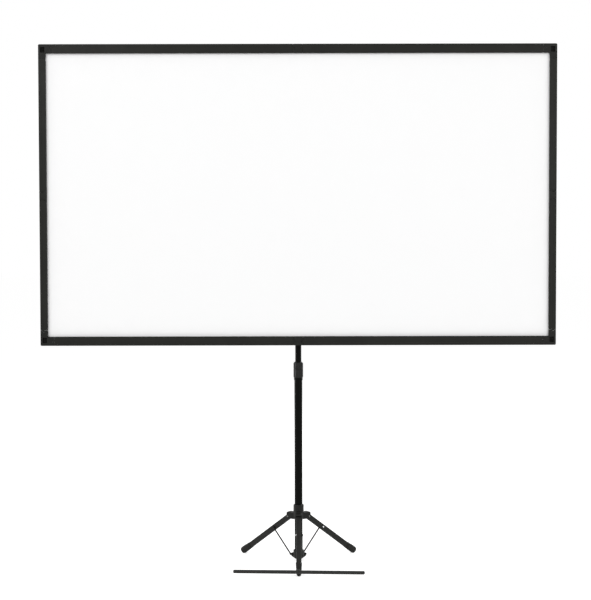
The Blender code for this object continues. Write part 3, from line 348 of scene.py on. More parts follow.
SHEET_BACK = backing("sheet_back", (0.036, 0.036, 0.039), 0.8, sheet_half)
FINISH_OF_SLOT = {
    "frame_rail": RAIL_PAINT,
    "leg_paint": LEG_PAINT,
    "mast_tube": MAST_PAINT,
    "joint_plastic": JOINT_PLASTIC,
    "grip_plastic": GRIP_PLASTIC,
    "inner_nylon": INNER_NYLON,
    "zinc_rivet": ZINC,
    "brace_wire": WIRE,
    "foot_rubber": RUBBER,
    "screen_fabric": SHEET_WHITE,
}


# Shapes
def smoothed(mesh):
    """Shade a mesh smooth where its faces meet at a low angle."""
    mesh.shade_smooth()
    mesh.set_sharp_from_angle(angle=SMOOTH_ANGLE)


def new_piece(name, work):
    """An object from a bmesh, which is used up."""
    bmesh.ops.recalc_face_normals(work, faces=work.faces)
    mesh = bpy.data.meshes.new(name)
    work.to_mesh(mesh)
    work.free()
    smoothed(mesh)
    piece = bpy.data.objects.new(name, mesh)
    bpy.context.scene.collection.objects.link(piece)
    return piece


def axes(origin, x_axis, y_axis, z_axis):
    """The matrix that puts local axes along the given directions."""
    turn = Matrix((Vector(x_axis), Vector(y_axis), Vector(z_axis))).transposed().to_4x4()
    return Matrix.Translation(origin) @ turn


def along_axis(origin, direction):
    """A matrix whose Z runs along a direction."""
    turn = Vector(direction).to_track_quat("Z", "Y").to_matrix().to_4x4()
    return Matrix.Translation(origin) @ turn


def lofted(name, rings, matrix, closed=False):
    """A skin over rings of points; its ends are capped, or joined to each other where it is closed."""
    work = bmesh.new()
    loops = [[work.verts.new(matrix @ Vector(point)) for point in ring] for ring in rings]
    pairs = list(zip(loops, loops[1:]))
    if closed:
        pairs.append((loops[-1], loops[0]))
    else:
        work.faces.new(loops[0])
        work.faces.new(loops[-1])
    for first, second in pairs:
        count = len(first)
        for i in range(count):
            j = (i + 1) % count
            work.faces.new((first[i], first[j], second[j], second[i]))
    return new_piece(name, work)


def full_turn(sides):
    """Even angles around a circle."""
    return [2 * pi * i / sides for i in range(sides)]


def circles(profile, sides):
    """Rings from (radius, height) points."""
    return [[(r * cos(a), r * sin(a), h) for a in full_turn(sides)] for r, h in profile]


def fluted(radius, depth, flutes, height, sides):
    """A ring with shallow flutes."""
    ring = []
    for angle in full_turn(sides):
        reach = radius - depth * (0.5 - 0.5 * cos(flutes * angle))
        ring.append((reach * cos(angle), reach * sin(angle), height))
    return ring


def rounded(profile, radius, steps=4, closed=False):
    """A profile whose corners are rounded off, as far as its sides allow."""
    points = [Vector(point) for point in profile]
    made = []
    last = len(points) - 1
    for i, point in enumerate(points):
        if not closed and i in (0, last):
            made.append(tuple(point))
            continue
        before = points[i - 1] - point
        after = points[(i + 1) % len(points)] - point
        reach = min(radius, ROUNDED_SHARE * before.length, ROUNDED_SHARE * after.length)
        start = point + before.normalized() * reach
        end = point + after.normalized() * reach
        for step in range(steps + 1):
            t = step / steps
            made.append(tuple((1 - t) ** 2 * start + 2 * t * (1 - t) * point + t**2 * end))
    return made


def turned(name, profile, matrix, sides=TURNED_SIDES, closed=False):
    """A profile of (radius, height) points turned about the matrix's Z axis."""
    return lofted(name, circles(profile, sides), matrix, closed)


def prism(name, outline, low, high, matrix):
    """An outline in local X and Y, from low to high along local Z."""
    return lofted(name, [[(x, y, h) for x, y in outline] for h in (low, high)], matrix)


def inset(outline, distance):
    """An outline moved inwards; it runs counter-clockwise."""
    points = [Vector(point) for point in outline]
    made = []
    for i, point in enumerate(points):
        before = (point - points[i - 1]).normalized()
        after = (points[(i + 1) % len(points)] - point).normalized()
        inward = Vector((-before.y - after.y, before.x + after.x)).normalized()
        slant = max(inward.dot(Vector((-after.y, after.x))), LEAST_SLANT)
        made.append(tuple(point + inward * distance / slant))
    return made


def soft_prism(name, outline, low, high, edge, matrix, steps=4):
    """A prism whose two ends have rounded edges."""
    angles = [pi / 2 * i / steps for i in range(steps + 1)]
    lower = [(edge * (1 - sin(a)), low + edge * (1 - cos(a))) for a in angles]
    upper = [(distance, high + low - height) for distance, height in reversed(lower)]
    rings = [[(x, y, h) for x, y in inset(outline, distance)] for distance, h in lower + upper]
    return lofted(name, rings, matrix)


def rectangle(left, low, right, high):
    return [(left, low), (right, low), (right, high), (left, high)]


def arc(centre, radius, start, end, steps=10):
    angles = [start + (end - start) * i / steps for i in range(steps + 1)]
    return [(centre[0] + radius * cos(a), centre[1] + radius * sin(a)) for a in angles]


def superellipse(half_width, half_height, power, along, rise=0.0):
    """A ring between a rectangle and an ellipse, across local X, with its middle raised."""
    ring = []
    for angle in full_turn(TURNED_SIDES):
        y, z = cos(angle), sin(angle)
        reach = (abs(y) ** power + abs(z) ** power) ** (-1 / power)
        ring.append((along, half_width * reach * y, rise + half_height * reach * z))
    return ring


def blend(start, end, t):
    """A smooth step between two values."""
    t = min(max(t, 0.0), 1.0)
    return start + (end - start) * t * t * (3 - 2 * t)


def bevelled(piece, width, segments=2):
    """Round off a piece's sharp edges."""
    modifier = piece.modifiers.new("edges", "BEVEL")
    modifier.width = width
    modifier.segments = segments
    modifier.limit_method = "ANGLE"
    modifier.angle_limit = SMOOTH_ANGLE
    modifier.harden_normals = True
    return piece


def combined(piece, operation, *others):
    """Join or cut a piece with others, which are used up."""
    for other in others:
        modifier = piece.modifiers.new("shape", "BOOLEAN")
        modifier.operation = operation
        modifier.solver = "EXACT"
        modifier.object = other
    graph = bpy.context.evaluated_depsgraph_get()
    mesh = bpy.data.meshes.new_from_object(piece.evaluated_get(graph))
    piece.modifiers.clear()
    piece.data = mesh
    smoothed(mesh)
    for other in others:
        bpy.data.objects.remove(other)
    return piece


def dress(piece, finish, body, *replaced, slot=None):
    """Give a new piece its finish and the body that it rides on, and hide the CAD nodes that it stands for.
    """
    piece.data.materials.clear()
    piece.data.materials.append(finish)
    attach(piece, body)
    if slot is None:
        slot = next(name for name, known in FINISH_OF_SLOT.items() if known == finish)
    if replaced:
        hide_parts(*replaced)
    return piece


# Stretched sheet: a triangle of cloth for each half rail, meeting in the middle and flush with each other
FACING_BACK = 0.5
SIDES = {"left": -1.0, "right": 1.0}
LEVELS = {"top": 1.0, "bottom": -1.0}
CORNERS = {
    f"{level_name}_{side_name}": (side, level)
    for level_name, level in LEVELS.items()
    for side_name, side in SIDES.items()
}
HALF_NAMES = {"top": "upper", "bottom": "lower"}


def sheet_panel(name, corner, edge_middle, rail):
    """A thin triangle from the sheet's middle to one half rail, white in front and grey behind."""
    work = bmesh.new()
    outline = ((0.0, 0.0), corner, edge_middle)
    layers = []
    for depth in (sheet_low.y, sheet_high.y):
        points = [(sheet_middle.x + x, depth, sheet_middle.z + z) for x, z in outline]
        layers.append([work.verts.new(point) for point in points])
    front, back = layers
    work.faces.new(front)
    work.faces.new(back)
    for i in range(len(outline)):
        j = (i + 1) % len(outline)
        work.faces.new((front[i], front[j], back[j], back[i]))
    flat = work.loops.layers.uv.new("flat")
    for face in work.faces:
        for loop in face.loops:
            loop[flat].uv = (loop.vert.co.x - sheet_middle.x, loop.vert.co.z - sheet_middle.z)
    piece = new_piece(name, work)
    dress(piece, SHEET_WHITE, body_of[rail], "screen_sheet")
    piece.data.materials.append(SHEET_BACK)
    for face in piece.data.polygons:
        face.material_index = 1 if face.normal.y > FACING_BACK else 0
    upright = abs(edge_middle[0]) > 0.0
    depth = sheet_half.x if upright else sheet_half.z
    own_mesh(piece)


for spot, (side, level) in CORNERS.items():
    corner = (side * sheet_half.x, level * sheet_half.z)
    sheet_panel(f"sheet_{spot}", corner, (0.0, corner[1]), f"rail_{spot}")
    level_name, side_name = spot.split("_")
    half = f"{side_name}_{HALF_NAMES[level_name]}"
    sheet_panel(f"sheet_{half}", corner, (corner[0], 0.0), f"rail_{half}")

# Mast: two drawn tubes with softened rims, and the bore of all that fits around the outer one
AT_MAST = Matrix.Translation(MAST)
MAST_BORE = 0.01455
TUBE_WALL = 0.0015
RIM_ROUND = 0.0006


def tube(name):
    low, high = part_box(name)
    outer = (high.x - low.x) / 2
    section = rectangle(outer - TUBE_WALL, low.z, outer, high.z)
    made = turned(f"{name}_drawn", rounded(section, RIM_ROUND, closed=True), AT_MAST, closed=True)
    dress(made, MAST_PAINT, body_of[name], name)


tube("mast_outer_tube")
tube("mast_inner_tube")

# Twist lock: a fluted grip with a plain skirt, a parting groove and a bevelled crown
lock_low, lock_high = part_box("height_lock_collar")
LOCK_RADIUS = (lock_high.x - lock_low.x) / 2
LOCK_FLUTES = 12
FLUTE_DEPTH = 0.0013
GRIP_SIDES = 180
SKIRT_RADIUS = 0.0157
SKIRT_HEIGHT = 0.010
SKIRT_EDGE = 0.0006
SKIRT_SHADOW = 0.0008
ROOF_BORE = 0.0113
ROOF_THICKNESS = 0.0025
PARTING = 0.40
CROWN = 0.0045
lock_height = lock_high.z - lock_low.z

# Rings at the grip's foot, groove and crown, as (step inwards, flutes' depth, height)
GRIP_FOOT = (
    (0.0012, 0.0001, -0.0002),
    (0.0003, 0.6 * FLUTE_DEPTH, 0.0004),
    (0.0, FLUTE_DEPTH, 0.0016),
)
GRIP_GROOVE = (
    (0.0, FLUTE_DEPTH, -0.0010),
    (0.0004, FLUTE_DEPTH, -0.0005),
    (0.0011, 0.5 * FLUTE_DEPTH, 0.0),
    (0.0004, FLUTE_DEPTH, 0.0005),
    (0.0, FLUTE_DEPTH, 0.0010),
)
GRIP_CROWN = (
    (0.0, FLUTE_DEPTH, -0.0012),
    (0.0003, 0.8 * FLUTE_DEPTH, -0.0003),
    (0.0010, 0.4 * FLUTE_DEPTH, 0.0006),
    (0.0038, 0.0, CROWN - 0.0005),
    (CROWN, 0.0, CROWN),
)


def grip_rings(steps, start):
    """Fluted rings, from a height on the grip."""
    return [
        fluted(LOCK_RADIUS - step_in, depth, LOCK_FLUTES, start + rise, GRIP_SIDES)
        for step_in, depth, rise in steps
    ]


SKIRT_SECTION = (
    (MAST_BORE, 0.0),
    (SKIRT_RADIUS - SKIRT_EDGE, 0.0),
    (SKIRT_RADIUS, SKIRT_EDGE),
    (SKIRT_RADIUS, SKIRT_HEIGHT - SKIRT_SHADOW),
)
ROOF_SECTION = (
    (ROOF_BORE + FINE_EDGE, lock_height),
    (ROOF_BORE, lock_height - EDGE_BREAK),
    (ROOF_BORE, lock_height - ROOF_THICKNESS),
    (MAST_BORE, lock_height - ROOF_THICKNESS),
)
lock_rings = [
    *circles(SKIRT_SECTION, GRIP_SIDES),
    *grip_rings(GRIP_FOOT, SKIRT_HEIGHT),
    *grip_rings(GRIP_GROOVE, lock_height * (1 - PARTING)),
    *grip_rings(GRIP_CROWN, lock_height - CROWN),
    *circles(ROOF_SECTION, GRIP_SIDES),
]
lock_place = AT_MAST @ Matrix.Translation((0.0, 0.0, lock_low.z))
lock = lofted("height_lock_grip", lock_rings, lock_place, closed=True)
dress(lock, GRIP_PLASTIC, "lock_collar", "height_lock_collar")
lock.data.materials.append(MAST_PAINT)
for face in lock.data.polygons:
    if face.center.z < lock_low.z + SKIRT_HEIGHT - SKIRT_EDGE:
        face.material_index = 1

# Clamp knobs: six lobes on a neck, with a dished end; the profile is (radius, depth between lobes, height)
KNOB_LOBES = 6
KNOB_SIDES = 120
KNOB_PROFILE = (
    (0.0048, 0.0000, 0.0000),
    (0.0058, 0.0000, 0.0004),
    (0.0060, 0.0000, 0.0030),
    (0.0070, 0.0001, 0.0040),
    (0.0098, 0.0008, 0.0043),
    (0.0112, 0.0014, 0.0050),
    (0.0119, 0.0017, 0.0064),
    (0.0120, 0.0018, 0.0100),
    (0.0117, 0.0017, 0.0136),
    (0.0108, 0.0013, 0.0152),
    (0.0092, 0.0006, 0.0159),
    (0.0076, 0.0001, 0.0160),
    (0.0070, 0.0000, 0.0156),
    (0.0064, 0.0000, 0.0144),
    (0.0020, 0.0000, 0.0140),
)
for name in ("spider", "hub"):
    rings = [fluted(r, depth, KNOB_LOBES, h, KNOB_SIDES) for r, depth, h in KNOB_PROFILE]
    seat = Vector(joints[f"{name}_knob_turn"]["pos_m"])
    knob = lofted(f"{name}_knob_lobed", rings, along_axis(seat, AHEAD))
    dress(knob, GRIP_PLASTIC, f"{name}_knob", f"{name}_clamp_knob")

# Legs, braces, rivets and feet, each in its leg's axes: X along from the pivot, Y across, Z to the outer face
LEG_SIDES = ("front", "right", "left")
LEG_SLOPE = radians(36.8)
CHANNEL_END = 0.218
LEG_HALF_WIDTH = 0.009
LEG_HALF_DEPTH = 0.0094
LEG_SINK = 0.0008
LEG_WALL = 0.0015
LEG_ROUND = 0.0022
BRACE_ON_LEG = 0.0755
GAP = 0.0003
UPRIGHT = axes(ORIGIN, ASIDE, UP, -AHEAD)


def mast_axes(side):
    """Axes at the mast's foot: X out towards a leg, Y across it, Z up."""
    pivot = Vector(joints[f"leg_{side}_fold"]["pos_m"])
    outward = Vector((pivot.x, pivot.y - MAST.y, 0.0)).normalized()
    return axes(MAST, outward, UP.cross(outward), UP)


def leg_axes(side):
    """Axes at a leg's pivot: X along the leg, Y across it, Z to its outer face."""
    pivot = Vector(joints[f"leg_{side}_fold"]["pos_m"])
    outward = mast_axes(side).col[0].to_3d()
    along = outward * cos(LEG_SLOPE) - UP * sin(LEG_SLOPE)
    outer = outward * sin(LEG_SLOPE) + UP * cos(LEG_SLOPE)
    return axes(pivot, along, UP.cross(outward), outer)


def leg_piece(side, place):
    """A folded channel, open below, with round corners and a round nose at its pivot."""
    wide, inner = LEG_HALF_WIDTH, LEG_HALF_WIDTH - LEG_WALL
    low, high = -LEG_HALF_DEPTH - LEG_SINK, LEG_HALF_DEPTH - LEG_SINK
    roof = high - LEG_WALL
    outside = rounded([(-wide, low), (-wide, high), (wide, high), (wide, low)], LEG_ROUND, 6)
    inside = rounded([(inner, low), (inner, roof), (-inner, roof), (-inner, low)], LEG_ROUND - LEG_WALL, 6)
    section = outside + inside
    rings = [[(x, y, z) for y, z in section] for x in (-LEG_HALF_DEPTH, 0.0, CHANNEL_END)]
    leg = lofted(f"leg_{side}_channel", rings, place)
    nose = arc((0.0, -LEG_SINK), LEG_HALF_DEPTH, pi / 2, 3 * pi / 2, 24)
    beyond = CHANNEL_END + LEG_HALF_DEPTH
    outline = [*nose, (beyond, low), (beyond, high)]
    combined(leg, "INTERSECT", prism("nose", outline, -2 * wide, 2 * wide, place @ UPRIGHT))
    dress(bevelled(leg, FINE_EDGE), LEG_PAINT, f"leg_{side}", f"leg_{side}")


# Rivets: a domed head at one end of a shank, or at both
DOME_STEPS = 6


def dome(radius, height, base, way=1.0):
    """Rings' (radius, height) pairs from a head's rim to its crown."""
    steps = [pi / 2 * i / DOME_STEPS for i in range(DOME_STEPS)]
    return [(radius * cos(a), base + way * height * sin(a)) for a in steps]


def rivet(name, place, low, high, shank, head, rise, ends, body, replaced, finish=ZINC):
    """A shank from low to high along the place's Z, with domed heads on the ends that are named."""
    lower = [*reversed(dome(head, rise, low, -1.0)), (shank, low)] if "low" in ends else [(shank, low)]
    upper = [(shank, high), *dome(head, rise, high)] if "high" in ends else [(shank, high)]
    made = turned(name, lower + upper, place, SMALL_SIDES)
    dress(made, finish, body, replaced, slot="zinc_rivet")


RIVET_HEAD = 0.0034
RIVET_RISE = 0.0018
TALL_RISE = 0.0026
EAR_HALF = 0.0131
LEG_PIN = 0.0025
BRACE_RIVET = 0.0018


def leg_rivets(side, place):
    across = place @ axes(ORIGIN, ASIDE, -UP, AHEAD)
    rivet(
        f"leg_pin_{side}_domed", across, -EAR_HALF, EAR_HALF, LEG_PIN, RIVET_HEAD, RIVET_RISE,
        ("low", "high"), "spider", f"leg_pin_{side}", DULL_ZINC,
    )
    on_leg = across @ Matrix.Translation((BRACE_ON_LEG, 0.0, 0.0))
    low = -LEG_HALF_WIDTH - GAP
    rivet(
        f"brace_rivet_{side}_domed", on_leg, low, LEG_HALF_WIDTH, BRACE_RIVET, RIVET_HEAD, TALL_RISE,
        ("low",), f"leg_{side}", f"brace_rivet_{side}",
    )


# Braces: wire flattened into an eye at each end
WIRE_RADIUS = 0.0025
EYE_RADIUS = 0.0038
EYE_HALF = 0.0025
EYE_STEPS = 10
EYE_NECK = 0.006
EYE_RIM = 0.45
EYE_TIP = 0.999


def brace_ring(along, span):
    """A ring of the wire at a distance from its lower eye: flat in an eye, and round between the two."""
    near = min(along, span - along)
    in_eye = max(EYE_RADIUS**2 - near**2, 0.0) ** 0.5
    wide = max(in_eye, WIRE_RADIUS if near > 0.0 else 0.0)
    thick = WIRE_RADIUS
    if near <= EYE_RADIUS + EYE_NECK / 2:
        thick = EYE_HALF * min(1.0, EYE_RIM + wide / EYE_RADIUS)
    return [(thick * cos(a), wide * sin(a), along) for a in full_turn(SMALL_SIDES)]


def brace_piece(side, place):
    foot = Vector(joints[f"brace_{side}_fold"]["pos_m"])
    across = place.col[1].to_3d()
    head = place @ Vector((BRACE_ON_LEG, 0.0, 0.0))
    beside = across * (LEG_HALF_WIDTH + GAP + EYE_HALF)
    run = head - foot
    span = run.length
    line = axes(foot + beside, across, run.normalized().cross(across), run.normalized())
    eye = [EYE_RADIUS * -cos(pi * i / EYE_STEPS) * EYE_TIP for i in range(EYE_STEPS + 1)]
    lower = [*eye, EYE_RADIUS + EYE_NECK]
    stations = [*lower, span / 2, *[span - s for s in reversed(lower)]]
    wire = lofted(f"brace_{side}_wire", [brace_ring(s, span) for s in stations], line)
    dress(wire, WIRE, f"brace_{side}", f"brace_{side}")
    along = place.col[0].to_3d()
    top = axes(head + beside + across * EYE_HALF, along, across.cross(along), across)
    section = [(RIVET_HEAD, -GAP), *dome(RIVET_HEAD, RIVET_RISE, 0.0)]
    cap = turned(f"brace_{side}_head", section, top, SMALL_SIDES)
    dress(cap, WIRE, f"brace_{side}")


# Rubber feet: a sleeve that follows the leg's section and swells into a round tip, flat where it stands
FOOT_START = 0.206
FOOT_SWELL = 0.233
FOOT_END = 0.250
FOOT_RADIUS = 0.0126
FOOT_WALL = 0.0013
FOOT_RIBS = 3
FOOT_RIB_PITCH = 0.006
FOOT_RIB_DEPTH = 0.0006
FOOT_LIP = 0.0003
BOXY = 6.0
ELLIPTIC = 2.0
TIP_POWER = 5.5
TIP_EASE = 0.7
FOOT_STATIONS = 60
LIP_STATIONS = 4
TIP_STATIONS = 14


def flat_sole(piece):
    """Cut a piece off level at the floor."""
    work = bmesh.new()
    work.from_mesh(piece.data)
    geometry = work.verts[:] + work.edges[:] + work.faces[:]
    cut = bmesh.ops.bisect_plane(work, geom=geometry, plane_co=ORIGIN, plane_no=UP, clear_inner=True)
    rim = [edge for edge in cut["geom_cut"] if isinstance(edge, bmesh.types.BMEdge)]
    bmesh.ops.contextual_create(work, geom=rim)
    bmesh.ops.recalc_face_normals(work, faces=work.faces)
    work.to_mesh(piece.data)
    work.free()
    smoothed(piece.data)
    return piece


def sleeve_rings(tip_width, tip_height, tip_power, swell, end, nose):
    """Rings of a foot: boxy at the mouth, with a lip and ribs, then its own section up to a round end."""
    rings = [superellipse(LEG_HALF_WIDTH, LEG_HALF_DEPTH, BOXY, FOOT_START + FOOT_LIP, -LEG_SINK)]
    ribs_start = FOOT_START + FOOT_RIB_PITCH
    ribs_end = ribs_start + FOOT_RIBS * FOOT_RIB_PITCH
    for i in range(FOOT_STATIONS + 1):
        along = FOOT_START + (swell - FOOT_START) * i / FOOT_STATIONS
        t = (along - FOOT_START) / (swell - FOOT_START)
        lip = FOOT_LIP if i < LIP_STATIONS else 0.0
        groove = 0.0
        if ribs_start <= along <= ribs_end:
            groove = FOOT_RIB_DEPTH * max(0.0, cos(2 * pi * (along - ribs_start) / FOOT_RIB_PITCH)) ** 2
        grow = lip - groove
        wide = blend(LEG_HALF_WIDTH + FOOT_WALL, tip_width, t) + grow
        high = blend(LEG_HALF_DEPTH + FOOT_WALL, tip_height, t) + grow
        rise = blend(-LEG_SINK, 0.0, t)
        rings.append(superellipse(wide, high, blend(BOXY, tip_power, t), along, rise))
    for i in range(1, TIP_STATIONS):
        along = sin(pi / 2 * i / TIP_STATIONS) ** TIP_EASE
        shrink = (1 - along**nose) ** (1 / nose)
        place = swell + (end - swell) * along
        rings.append(superellipse(tip_width * shrink, tip_height * shrink, tip_power, place))
    return rings


def foot_piece(side, place):
    rings = sleeve_rings(FOOT_RADIUS, FOOT_RADIUS, ELLIPTIC, FOOT_SWELL, FOOT_END, TIP_POWER)
    foot = lofted(f"foot_{side}_tip", rings, place)
    dress(flat_sole(foot), RUBBER, f"leg_{side}", f"foot_{side}")


# Front foot: a slim block with a round nose, under the bar
BLOCK_SWELL = 0.240
BLOCK_END = 0.2595
BLOCK_HALF_WIDTH = 0.0094
BLOCK_HALF_DEPTH = 0.0099
BLOCK_POWER = 3.0


def front_foot_piece(place):
    rings = sleeve_rings(BLOCK_HALF_WIDTH, BLOCK_HALF_DEPTH, BLOCK_POWER, BLOCK_SWELL, BLOCK_END, ELLIPTIC)
    block = lofted("foot_front_block", rings, place)
    dress(flat_sole(block), RUBBER, "leg_front", "foot_front")


for side in LEG_SIDES:
    place = leg_axes(side)
    leg_piece(side, place)
    leg_rivets(side, place)
    brace_piece(side, place)
    if side == "front":
        front_foot_piece(place)
    else:
        foot_piece(side, place)

# Spider: a round-shouldered sleeve with three clevises and a boss for the clamp screw
SPIDER_RADIUS = 0.01875
SPIDER_RISE = 0.045
EAR_RISE = 0.0167
EAR_NOSE = 0.008
EAR_REACH = 0.0055
EAR_EDGE = 0.0016
EAR_ROUND = 0.0055
SPIDER_ROUND = 0.0032
SWING_GAP = 0.001
SLOT_START = 0.02025
SLOT_END = 0.1
SLOT_HALF = LEG_HALF_WIDTH + GAP
SLOT_ROOF = LEG_HALF_DEPTH + SWING_GAP
BOSS_RADIUS = 0.0065
BOSS_BORE = 0.0036
BOSS_REACH = 0.0255
BOSS_ROUND = 0.0012
BURY = 0.0005
KNOB_DROP = 0.011
NECK_RISE = 0.0035
NECK_DEPTH = 0.0009
NECK_HALF = 0.0014
NECK_EDGE = 0.0022
front_pivot = Vector(joints["leg_front_fold"]["pos_m"])
PIVOT_HEIGHT = front_pivot.z
PIVOT_REACH = (front_pivot - MAST).xy.length


def screw_boss(height, bore):
    """A short round boss at the back of the mast, for a clamp screw."""
    section = [(CORE_RADIUS, bore), (BOSS_RADIUS, bore), (BOSS_RADIUS, BOSS_REACH), (BOSS_BORE, BOSS_REACH)]
    return turned("boss", rounded(section, BOSS_ROUND), along_axis(MAST + UP * height, AHEAD), SMALL_SIDES)


def spider_piece():
    top = PIVOT_HEIGHT + SPIDER_RISE
    bottom = PIVOT_HEIGHT - EAR_NOSE
    ear_top = PIVOT_HEIGHT + EAR_RISE
    end = PIVOT_REACH + EAR_REACH
    neck = ear_top + NECK_RISE
    section = [
        (MAST_BORE, bottom + BURY),
        (SPIDER_RADIUS, bottom + BURY),
        (SPIDER_RADIUS, neck - NECK_EDGE),
        (SPIDER_RADIUS - NECK_DEPTH, neck - NECK_HALF),
        (SPIDER_RADIUS - NECK_DEPTH, neck + NECK_HALF),
        (SPIDER_RADIUS, neck + NECK_EDGE),
        (SPIDER_RADIUS, top),
        (MAST_BORE, top),
    ]
    sleeve = rounded(section, SPIDER_ROUND, 6, closed=True)
    spider = turned("leg_spider_moulded", sleeve, AT_MAST, closed=True)
    outline = rounded(rectangle(0.0, bottom, end, ear_top), EAR_ROUND, 8, closed=True)
    slot = rectangle(SLOT_START, 0.0, SLOT_END, PIVOT_HEIGHT + SLOT_ROOF)
    half = EAR_HALF - GAP
    ears, cuts = [], []
    for side in LEG_SIDES:
        upright = mast_axes(side) @ UPRIGHT
        ears.append(soft_prism("ear", outline, -half, half, EAR_EDGE, upright))
        cuts.append(prism("slot", slot, -SLOT_HALF, SLOT_HALF, upright))
    cuts.append(turned("bore", [(MAST_BORE, 0.0), (MAST_BORE, 1.0)], AT_MAST))
    combined(spider, "UNION", *ears, screw_boss(top - KNOB_DROP, MAST_BORE + BURY))
    combined(spider, "DIFFERENCE", *cuts)
    dress(bevelled(spider, EDGE_BREAK), JOINT_PLASTIC, "spider", "leg_spider")


spider_piece()

# Brace collar: a round-bottomed cup on the mast's foot, with two webs and a stud for each brace
CUP_RADIUS = 0.019
CUP_FLOOR = 0.003
CUP_TAPER = 0.0045
CUP_TAPER_RISE = 0.0055
CUP_ROUND = 0.0016
GROOVE_DROP = 0.0052
GROOVE_DEPTH = 0.0006
GROOVE_HALF = 0.0010
GROOVE_FLOOR_HALF = 0.0004
WEB_INNER = 0.003
WEB_CLEARANCE = 0.0006
WEB_OUTER = LEG_HALF_WIDTH - LEG_WALL - WEB_CLEARANCE
WEB_NOSE = 0.0032
WEB_DROP = 0.0140
WEB_RISE = 0.0065
WEB_ROOT = MAST_BORE + 0.001
WEB_HEEL = 0.001
WEB_HEEL_DROP = 0.6 * WEB_DROP
WEB_LIP_RISE = 0.5 * WEB_NOSE
WEB_BROW_RISE = 1.1 * WEB_NOSE
WEB_ROUND = 0.003
WEB_EDGE = 0.0008
STUD_RADIUS = 0.0013
STUD_HEAD = 0.0030
cup_low, cup_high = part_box("brace_collar")
brace_foot = Vector(joints["brace_front_fold"]["pos_m"])
BRACE_FOOT_HEIGHT = brace_foot.z
BRACE_FOOT_REACH = (brace_foot - MAST).xy.length


def brace_collar_piece():
    bottom, top = cup_low.z, cup_high.z
    groove = top - GROOVE_DROP
    section = [
        (CORE_RADIUS, bottom),
        (CUP_RADIUS - CUP_TAPER, bottom),
        (CUP_RADIUS, bottom + CUP_TAPER_RISE),
        (CUP_RADIUS, groove - GROOVE_HALF),
        (CUP_RADIUS - GROOVE_DEPTH, groove - GROOVE_FLOOR_HALF),
        (CUP_RADIUS - GROOVE_DEPTH, groove + GROOVE_FLOOR_HALF),
        (CUP_RADIUS, groove + GROOVE_HALF),
        (CUP_RADIUS, top),
        (MAST_BORE, top),
        (MAST_BORE, bottom + CUP_FLOOR),
        (CORE_RADIUS, bottom + CUP_FLOOR),
    ]
    collar = turned("brace_collar_moulded", rounded(section, CUP_ROUND, 5), AT_MAST)
    reach, height = BRACE_FOOT_REACH, BRACE_FOOT_HEIGHT
    web = [
        (WEB_ROOT, height - WEB_DROP),
        (reach - WEB_HEEL, height - WEB_HEEL_DROP),
        (reach + WEB_NOSE, height - WEB_NOSE),
        (reach + WEB_NOSE, height + WEB_LIP_RISE),
        (reach, height + WEB_BROW_RISE),
        (WEB_ROOT, height + WEB_RISE),
    ]
    outline = rounded(web, WEB_ROUND, 5, closed=True)
    stud_end = LEG_HALF_WIDTH + 2 * (GAP + EYE_HALF)
    stud = [
        (CORE_RADIUS, WEB_INNER),
        (STUD_RADIUS, WEB_INNER),
        (STUD_RADIUS, stud_end),
        *dome(STUD_HEAD, RIVET_RISE, stud_end),
    ]
    shapes = []
    for side in LEG_SIDES:
        place = mast_axes(side)
        for low, high in ((-WEB_OUTER, -WEB_INNER), (WEB_INNER, WEB_OUTER)):
            shapes.append(soft_prism("web", outline, low, high, WEB_EDGE, place @ UPRIGHT))
        foot = place @ Vector((reach, 0.0, height))
        shapes.append(turned("stud", stud, along_axis(foot, place.col[1].to_3d()), SMALL_SIDES))
    combined(collar, "UNION", *shapes)
    dress(bevelled(collar, FINE_EDGE), JOINT_PLASTIC, body_of["brace_collar"], "brace_collar")


brace_collar_piece()

# Stabilizer bar: a drawn tube with rubber caps, on a saddle and a domed screw
BAR_RADIUS = 0.0062
BAR_HALF = 0.220
BAR_WALL = 0.0012
CAP_LIP = 0.005
CAP_BAND = 0.0016
CAP_ROUND = 0.0006
SADDLE_RADIUS = 0.0056
SADDLE_RISE = 0.0064
SADDLE_BORE = 0.0030
BAR_SCREW_RADIUS = 0.0054
BAR_SCREW_FOOT = 0.0065
BAR_SCREW_RIM = 0.0068
BAR_SCREW_RISE = 0.0030
bar_seat = Vector(joints["stabilizer_swivel"]["pos_m"])
bar_way = (middle("bar_cap_right") - middle("bar_cap_left")).normalized()
bar_place = along_axis(bar_seat, bar_way)
bar_inner = BAR_RADIUS - BAR_WALL
bar_section = rectangle(bar_inner, -BAR_HALF, BAR_RADIUS, BAR_HALF)
bar = turned("stabilizer_bar_drawn", rounded(bar_section, EDGE_BREAK, closed=True), bar_place, closed=True)
# The bar's lighter paint is painted light; it shares the leg paint's slot
dress(bar, BAR_PAINTED_LIGHT, "stabilizer", "stabilizer_bar", slot="leg_paint")
for side, way in (("left", -1.0), ("right", 1.0)):
    cap_place = along_axis(bar_seat + bar_way * way * BAR_HALF, bar_way * way)
    section = [(bar_inner, -CAP_LIP), (bar_inner, GAP), (BAR_RADIUS, GAP), (BAR_RADIUS, CAP_BAND)]
    end = dome(BAR_RADIUS, CAP_LIP - CAP_BAND, CAP_BAND)[1:]
    cap = turned(f"bar_cap_{side}_moulded", rounded(section, CAP_ROUND) + end, cap_place)
    dress(cap, RUBBER, "stabilizer", f"bar_cap_{side}")
screw_place = along_axis(bar_seat, Vector(joints["stabilizer_swivel"]["axis"]))
saddle_section = [(SADDLE_RADIUS, 0.0), (SADDLE_RADIUS, SADDLE_RISE), (SADDLE_BORE, SADDLE_RISE)]
saddle = turned("bar_saddle", rounded(saddle_section, CAP_ROUND), screw_place)
dress(saddle, LEG_PAINT, "stabilizer")
screw_head = dome(BAR_SCREW_RADIUS, BAR_SCREW_RISE, BAR_SCREW_RIM)
screw_section = [(BAR_SCREW_RADIUS, BAR_SCREW_FOOT), *screw_head]
